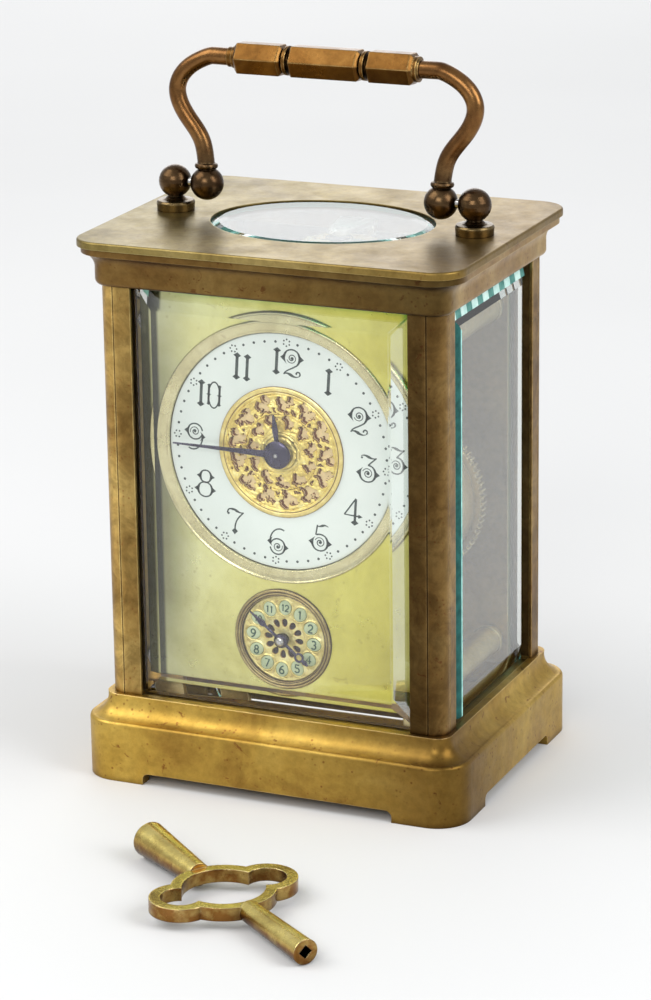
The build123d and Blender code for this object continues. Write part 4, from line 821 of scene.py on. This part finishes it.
def relief(name, centre, inner, outer, height, low, high, material):
    """Polar sheet about a line along Y whose front follows height(places), from low to high."""
    angle = np.linspace(0, 2 * math.pi, AROUND, endpoint=False)
    rr, aa = np.meshgrid(np.linspace(inner, outer, RINGS), angle, indexing="ij")
    flat = np.stack([rr.ravel() * np.cos(aa.ravel()), rr.ravel() * np.sin(aa.ravel())], 1)
    x, z = on_dial(centre, *flat.T)
    y = low + (high - low) * np.clip(height(flat), 0, 1)
    points = [tuple(map(float, p)) for p in zip(x, y, z)]
    inside, outside = len(points), len(points) + AROUND  # the rims of the back
    for r in (inner, outer):
        for a in angle:
            x, z = on_dial(centre, r * math.cos(a), r * math.sin(a))
            points.append((x, low + 0.05, z))
    rim = (RINGS - 1) * AROUND
    faces = []
    for j in range(AROUND):
        k = (j + 1) % AROUND
        faces += [(i + j, i + k, i + AROUND + k, i + AROUND + j) for i in range(0, rim, AROUND)]
        faces += [(j, inside + j, inside + k, k), (rim + j, rim + k, outside + k, outside + j),
                  (inside + j, outside + j, outside + k, inside + k)]
    return make_piece(name, points, faces, material, smooth=True)


def soft_step(x, low, high):
    f = np.clip((x - low) / (high - low), 0, 1)
    return f * f * (3 - 2 * f)


def wobble(points, scale, seed):
    """Smooth field of small shifts for many points."""
    return np.array([noise.noise(Vector((x * scale, z * scale, seed))) for x, z in points])


def about(p, radius, angle):
    """Places of p along and across the ray at this angle, counted from its point at this radius."""
    ray = np.array([math.cos(angle), math.sin(angle)])
    rel = p - radius * ray
    return rel @ ray, rel @ np.array([-ray[1], ray[0]])


def gilt_openings():
    """Blobs (radius from the dial's centre, degrees, size along, size across) that pierce the gilt centre."""
    blobs = []
    for k in range(13):
        turn, shift = 360 / 13 * k + 6, 0.25 * math.sin(5.1 * k)
        blobs += [(10.45 + shift, turn - 6.0, 0.98, 0.92), (10.30 - shift, turn + 5.2, 0.86, 1.06),
                  (9.15, turn + 1.5 * math.sin(2.3 * k), 1.02, 1.12), (8.25, turn - 5.2, 0.50, 0.52),
                  (8.55, turn + 13.4, 0.46, 0.42)]
    for k in range(11):
        turn = 360 / 11 * k + 14
        blobs += [(5.70, turn - 3.0, 0.74, 0.74), (6.72, turn + 4.5, 0.78, 1.02),
                  (6.50, turn - 8.0, 0.50, 0.52)]
    return blobs


def opening_gap(p):
    """Distance outside the nearest opening's edge, roughly in millimetres; below 0 inside."""
    warped = p + 0.50 * np.stack([wobble(p, 0.85, 3.1), wobble(p, 0.85, 8.7)], 1)
    warped += 0.42 * np.stack([wobble(p, 2.3, 5.4), wobble(p, 2.3, 6.6)], 1)
    gap = np.full(len(p), 9.0)
    for radius, degrees, along, across in gilt_openings():
        out, side = about(warped, radius, math.radians(degrees))
        gap = np.minimum(gap, (np.hypot(out / along, side / across) - 1) * min(along, across))
    return gap


def gilt_height(p):
    """Pierced leafwork of the gilt centre: 1 on the metal's front, 0 on the ground behind.

    Each opening's floor falls away at its left and lower left, where the wall stands; that deeper strip takes
    the dark wall colour, a painted shadow.
    """
    gap = opening_gap(p)
    body = soft_step(gap, -0.10, 0.06)
    floor = FLOOR_LEVEL * soft_step(-opening_gap(p + np.array([-0.52, -0.26])), -0.04, 0.10)
    r, a = np.hypot(*p.T), np.arctan2(p[:, 1], p[:, 0])
    crown = 0.84 + 0.10 * soft_step(gap, 0.05, 0.34) - 0.16 * soft_step(-np.abs(gap - 0.46), -0.09, -0.02)
    veins = 0.07 * np.sin(3.6 * r + 2.6 * np.sin(6 * a + 1.2 * r)) + 0.10 * wobble(p, 2.6, 1.7)
    grooves = 0.24 * soft_step(-np.abs(r - 7.66), -0.15, -0.05)
    grooves += 0.20 * soft_step(-np.abs(r - 11.62), -0.14, -0.04)
    metal = np.clip(crown + veins - grooves, 0, 1)
    return np.maximum(body * metal, floor * (1 - body))


def relief_gold(name, low, high, gold, wall, ground, floor=0.05, top=0.62, metal=0.62):
    """Gilding by depth: gold on the front, then the wall colour and the ground colour further back; where
    these are dark they are painted shade in the recesses.
    """
    material, t, shader = new_material(name)
    depth = t.share(t.axis("Y"), low, high)
    clouds = t.noise(420.0, 5.0, 0.6)
    bright = t.ramp(clouds, (0.3, gold[0]), (0.55, gold[1]), (0.8, gold[2]))
    under = t.ramp(t.noise(700.0, 3.0, 0.6), (0.3, tuple(0.80 * c for c in ground)), (0.7, ground))
    step = t.ramp(t.math("ABSOLUTE", t.math("SUBTRACT", depth, floor)), (0.06, 0.0), (0.10, 1.0))
    rise = t.ramp(depth, (top - 0.10, 0.0), (top + 0.10, 1.0))
    colour = t.mix(rise, t.mix(step, under, wall), bright)
    t.put(shader, Base_Color=colour, Metallic=t.ramp(rise, (0.0, 0.1), (1.0, metal)),
          Roughness=t.ramp(rise, (0.0, 0.62), (1.0, 0.34)),
          Normal=t.bump(t.noise(1600.0, 4.0, 0.7), 0.35, 0.0001))
    return material


GOLD = ((0.70, 0.50, 0.12), (0.96, 0.77, 0.24), (1.0, 0.92, 0.48))
# The dark red walls in the openings are painted shade; the tan ground is its own colour.
WORKED = relief_gold("worked_gilt", GILT_LOW, GILT_HIGH, GOLD, (0.20, 0.072, 0.020), (0.88, 0.66, 0.34),
                     FLOOR_LEVEL)
# Painted shade: the grooves of the gilt rim and collar are dark brown.
GROOVE = (0.26, 0.13, 0.035)
GROOVED = relief_gold("grooved_gilt", -20.70, -20.98,
                      ((0.72, 0.53, 0.16), (0.88, 0.71, 0.26), (0.97, 0.87, 0.47)), GROOVE, GROOVE,
                      top=0.45, metal=0.7)
fret = relief("gilt_scrollwork", DIAL, 1.75, 12.1, gilt_height, GILT_LOW, GILT_HIGH, WORKED)
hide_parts("gilt_centre")

bead = [(-20.4, 13.28), (-20.75, 13.26), (-20.90, 13.10), (-20.98, 12.82), (-20.97, 12.50), (-20.91, 12.34),
        (-20.73, 12.28), (-20.73, 12.18), (-20.93, 12.12), (-20.93, 12.00), (-20.80, 11.94), (-20.4, 11.92)]
turned("gilt_rim", bead, DIAL, 140, GROOVED)
collar = [(-20.3, 4.42), (-20.80, 4.40), (-20.96, 4.30), (-20.96, 4.12), (-20.73, 4.06), (-20.73, 3.94),
          (-20.97, 3.86), (-20.97, 3.36), (-20.73, 3.28), (-20.73, 3.16), (-20.94, 3.08), (-20.94, 2.2),
          (-20.3, 2.1)]
turned("gilt_collar", collar, DIAL, 90, GROOVED)

# ---------------------------------------------------------------- bezels
dial_ring = [(-21.08, 26.58), (-21.30, 26.60), (-21.48, 26.46), (-21.50, 26.28), (-21.36, 26.12),
             (-21.30, 25.90), (-20.98, 24.72), (-21.02, 24.56), (-21.06, 24.36), (-20.98, 24.14),
             (-20.72, 24.03), (-20.15, 24.03), (-20.15, 25.50), (-21.08, 25.55)]
ring = turned("dial_ring", dial_ring, DIAL, 200, RING_BRASS)
crisp(ring, 32)
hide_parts("dial_bezel")
# Painted shade in the grooves of the turned alarm ring.
RING_GROOVE_SHADE = (0.070, 0.042, 0.018)
TURNED = relief_gold("turned_brass", -21.26, -21.66,
                     ((0.27, 0.19, 0.075), (0.40, 0.31, 0.13), (0.66, 0.55, 0.27)), RING_GROOVE_SHADE, RING_GROOVE_SHADE,
                     top=0.42, metal=0.9)
alarm_ring = [(-21.08, 10.40), (-21.30, 10.40), (-21.58, 10.26), (-21.70, 10.04), (-21.62, 9.86),
              (-21.32, 9.78), (-21.32, 9.70), (-21.56, 9.62), (-21.64, 9.46), (-21.56, 9.30), (-21.32, 9.22),
              (-21.32, 9.15), (-21.50, 9.08), (-21.50, 8.98), (-21.28, 8.90), (-21.08, 8.90)]
ring = turned("alarm_ring", alarm_ring, ALARM, 140, TURNED)
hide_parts("alarm_bezel")

# ---------------------------------------------------------------- bosses of the hands
dome = [(-23.56, 0.02), (-23.55, 0.22), (-23.49, 0.38), (-23.40, 0.44), (-23.38, 0.02)]
turned("boss_pin", dome, DIAL, 32, STEEL, "minute")
dome = [(-23.42, 0.02), (-23.38, 0.36), (-23.26, 0.68), (-23.06, 0.90), (-22.92, 0.96), (-22.92, 0.02)]
turned("alarm_boss_cap", dome, ALARM, 40, STEEL, "alarm_setting")


# ---------------------------------------------------------------- alarm dial
def alarm_height(p):
    """Chased gilt field: sunk cartouche seats, pierced petals, a plain band round them."""
    r, a = np.hypot(*p.T), np.arctan2(p[:, 1], p[:, 0])
    level = np.full(len(p), 0.62)
    level += 0.10 * soft_step(-np.abs(r - 4.75), -0.30, -0.05)
    level += 0.16 * soft_step(-np.abs(r - 8.62), -0.26, -0.05)
    chased_band = soft_step(r, 5.0, 5.6) * soft_step(-r, -8.4, -8.0)
    level += 0.10 * wobble(p, 2.4, 2.2) + 0.09 * np.sin(24 * a + 2.2 * r) * chased_band
    for k in range(12):
        b = math.radians(90 - 30 * k)
        along, across = about(p, CARTOUCHE_R, b)
        gap = np.hypot(along / 1.50, across / 1.36)
        level += 0.30 * soft_step(-np.abs(gap - 1.12), -0.16, -0.03) - 0.25 * soft_step(-gap, -1.1, -0.95)
        along, across = about(p, PETAL_R, b)
        reach = np.hypot(along / 0.86, across / (0.58 + 0.14 * along))
        level -= 0.75 * soft_step(-reach, -1.1, -0.85)
    return np.clip(level, 0, 1)


def cartouches():
    """Twelve domed enamel seats, each with its number."""
    figures = Inlay(ALARM, -21.17, 0.05)
    seats, faces, around = [], [], 24
    for k in range(12):
        b = math.radians(90 - 30 * k)
        cx, cz = clock_place(CARTOUCHE_R, 30 * k)
        base, tip = len(seats), len(seats) + 3 * around
        for share, y in ((1.0, -20.75), (0.98, -21.02), (0.80, -21.12), (0.0, -21.14)):
            for i in range(around if share else 1):
                g = 2 * math.pi * i / around
                along = (1.48 + 0.10 * math.cos(2 * g)) * share * math.cos(g)
                across = 1.34 * share * math.sin(g)
                x, z = on_dial(ALARM, cx + along * math.cos(b) - across * math.sin(b),
                               cz + along * math.sin(b) + across * math.cos(b))
                seats.append((x, y, z))
        for i in range(around):
            j = (i + 1) % around
            faces += [(lo + i, lo + j, lo + around + j, lo + around + i) for lo in (base, base + around)]
            faces.append((tip - around + i, tip - around + j, tip))
        faces.append(tuple(base + i for i in reversed(range(around))))
        text = str(k or 12)
        shifts, size = ((0.0,), 1.0) if len(text) == 1 else ((-0.42, 0.42), 0.80)
        for digit, shift in zip(text, shifts):
            draw_small(figures, digit, (cx + shift, cz), size)
    make_piece("alarm_cartouches", seats, faces, CARTOUCHE, smooth=True)
    figures.done("alarm_numerals", CARTOUCHE_INK)


# Painted shade: near-black ground in the sunk petals, dark walls round them.
PIERCED = relief_gold("pierced_gilt", ALARM_LOW, ALARM_HIGH,
                      ((0.55, 0.43, 0.13), (0.82, 0.70, 0.28), (0.95, 0.90, 0.55)), (0.34, 0.19, 0.05),
                      (0.022, 0.010, 0.010), floor=0.0, top=0.50)
chased = relief("alarm_gilt_dial", ALARM, 1.15, ALARM_R, alarm_height, ALARM_LOW, ALARM_HIGH, PIERCED)
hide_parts("alarm_dial")
CARTOUCHE = enamel_material("cartouche_enamel", (0.28, 0.34, 0.19), (0.52, 0.58, 0.36))
CARTOUCHE_INK = ink_material("cartouche_ink", (0.012, 0.045, 0.025))
cartouches()


# ---------------------------------------------------------------- stage, light, camera
def stage_floor():
    bpy.ops.mesh.primitive_plane_add(size=12.0, location=(0, 0, 0))
    floor = bpy.context.object
    floor.name = "floor"
    material, t, shader = new_material("pale_sweep")
    tone = t.ramp(t.noise(3.0, 3.0, 0.5), (0.3, (0.69, 0.69, 0.69)), (0.7, (0.73, 0.73, 0.73)))
    t.put(shader, Base_Color=tone, Roughness=0.7)
    floor.data.materials.append(material)


def soft_box(name, place, aim, size, watts, tint=(1, 1, 1)):
    lamp = bpy.data.lights.new(name, "AREA")
    lamp.shape, lamp.size, lamp.size_y = "RECTANGLE", size[0], size[1]
    lamp.energy, lamp.color = watts, tint
    box = bpy.data.objects.new(name, lamp)
    bpy.context.scene.collection.objects.link(box)
    box.location = place
    box.visible_camera = False
    box.rotation_euler = (Vector(aim) - Vector(place)).to_track_quat("-Z", "Y").to_euler()


def stage_world():
    world = bpy.data.worlds.new("studio")
    bpy.context.scene.world = world
    world.use_nodes = True
    back = world.node_tree.nodes["Background"]
    back.inputs["Color"].default_value = (0.97, 0.985, 1.0, 1)
    back.inputs["Strength"].default_value = 0.66


stage_floor()
stage_world()
soft_box("key_light", (-0.80, -0.45, 1.05), (0, 0, 0.06), size=(0.9, 0.9), watts=8.4, tint=(1.0, 0.985, 0.96))
soft_box("front_light", (0.10, -1.25, 0.80), (0, 0, 0.07), size=(0.7, 0.5), watts=5.5)
soft_box("back_light", (-0.62, 1.30, 0.50), (0, 0, 0.11), size=(1.1, 0.75), watts=3.8)
soft_box("fill_light", (0.95, -0.1, 0.7), (0.1, 0, 0.03), size=(0.6, 0.7), watts=7.0, tint=(0.96, 0.98, 1.0))

# The camera, as solved from the straight edges of the case: metres, degrees and a lens in millimetres.
CAMERA_AT = (0.2803, -0.6410, 0.2739)
YAW, PITCH, ROLL, LENS = -23.64, 17.49, -0.81, 131.1
yaw, pitch, roll = (math.radians(v) for v in (YAW, PITCH, ROLL))
ahead = Vector((math.sin(yaw) * math.cos(pitch), math.cos(yaw) * math.cos(pitch), -math.sin(pitch)))
right = Vector((math.cos(yaw), -math.sin(yaw), 0))
up = right.cross(ahead)
right, up = math.cos(roll) * right + math.sin(roll) * up, -math.sin(roll) * right + math.cos(roll) * up
eye = bpy.data.cameras.new("camera")
eye.lens, eye.sensor_width, eye.sensor_fit = LENS, 36.0, "AUTO"
eye.clip_start, eye.clip_end = 0.01, 50.0
camera = bpy.data.objects.new("camera", eye)
bpy.context.scene.collection.objects.link(camera)
camera.matrix_world = Matrix((
    (right.x, up.x, -ahead.x, CAMERA_AT[0]),
    (right.y, up.y, -ahead.y, CAMERA_AT[1]),
    (right.z, up.z, -ahead.z, CAMERA_AT[2]),
    (0, 0, 0, 1)))
bpy.context.scene.camera = camera

scene = bpy.context.scene
scene.view_settings.view_transform = "Standard"
scene.cycles.use_denoising = True
scene.cycles.max_bounces = 14
scene.cycles.transmission_bounces = 12
scene.cycles.transparent_max_bounces = 16
scene.cycles.glossy_bounces = 6
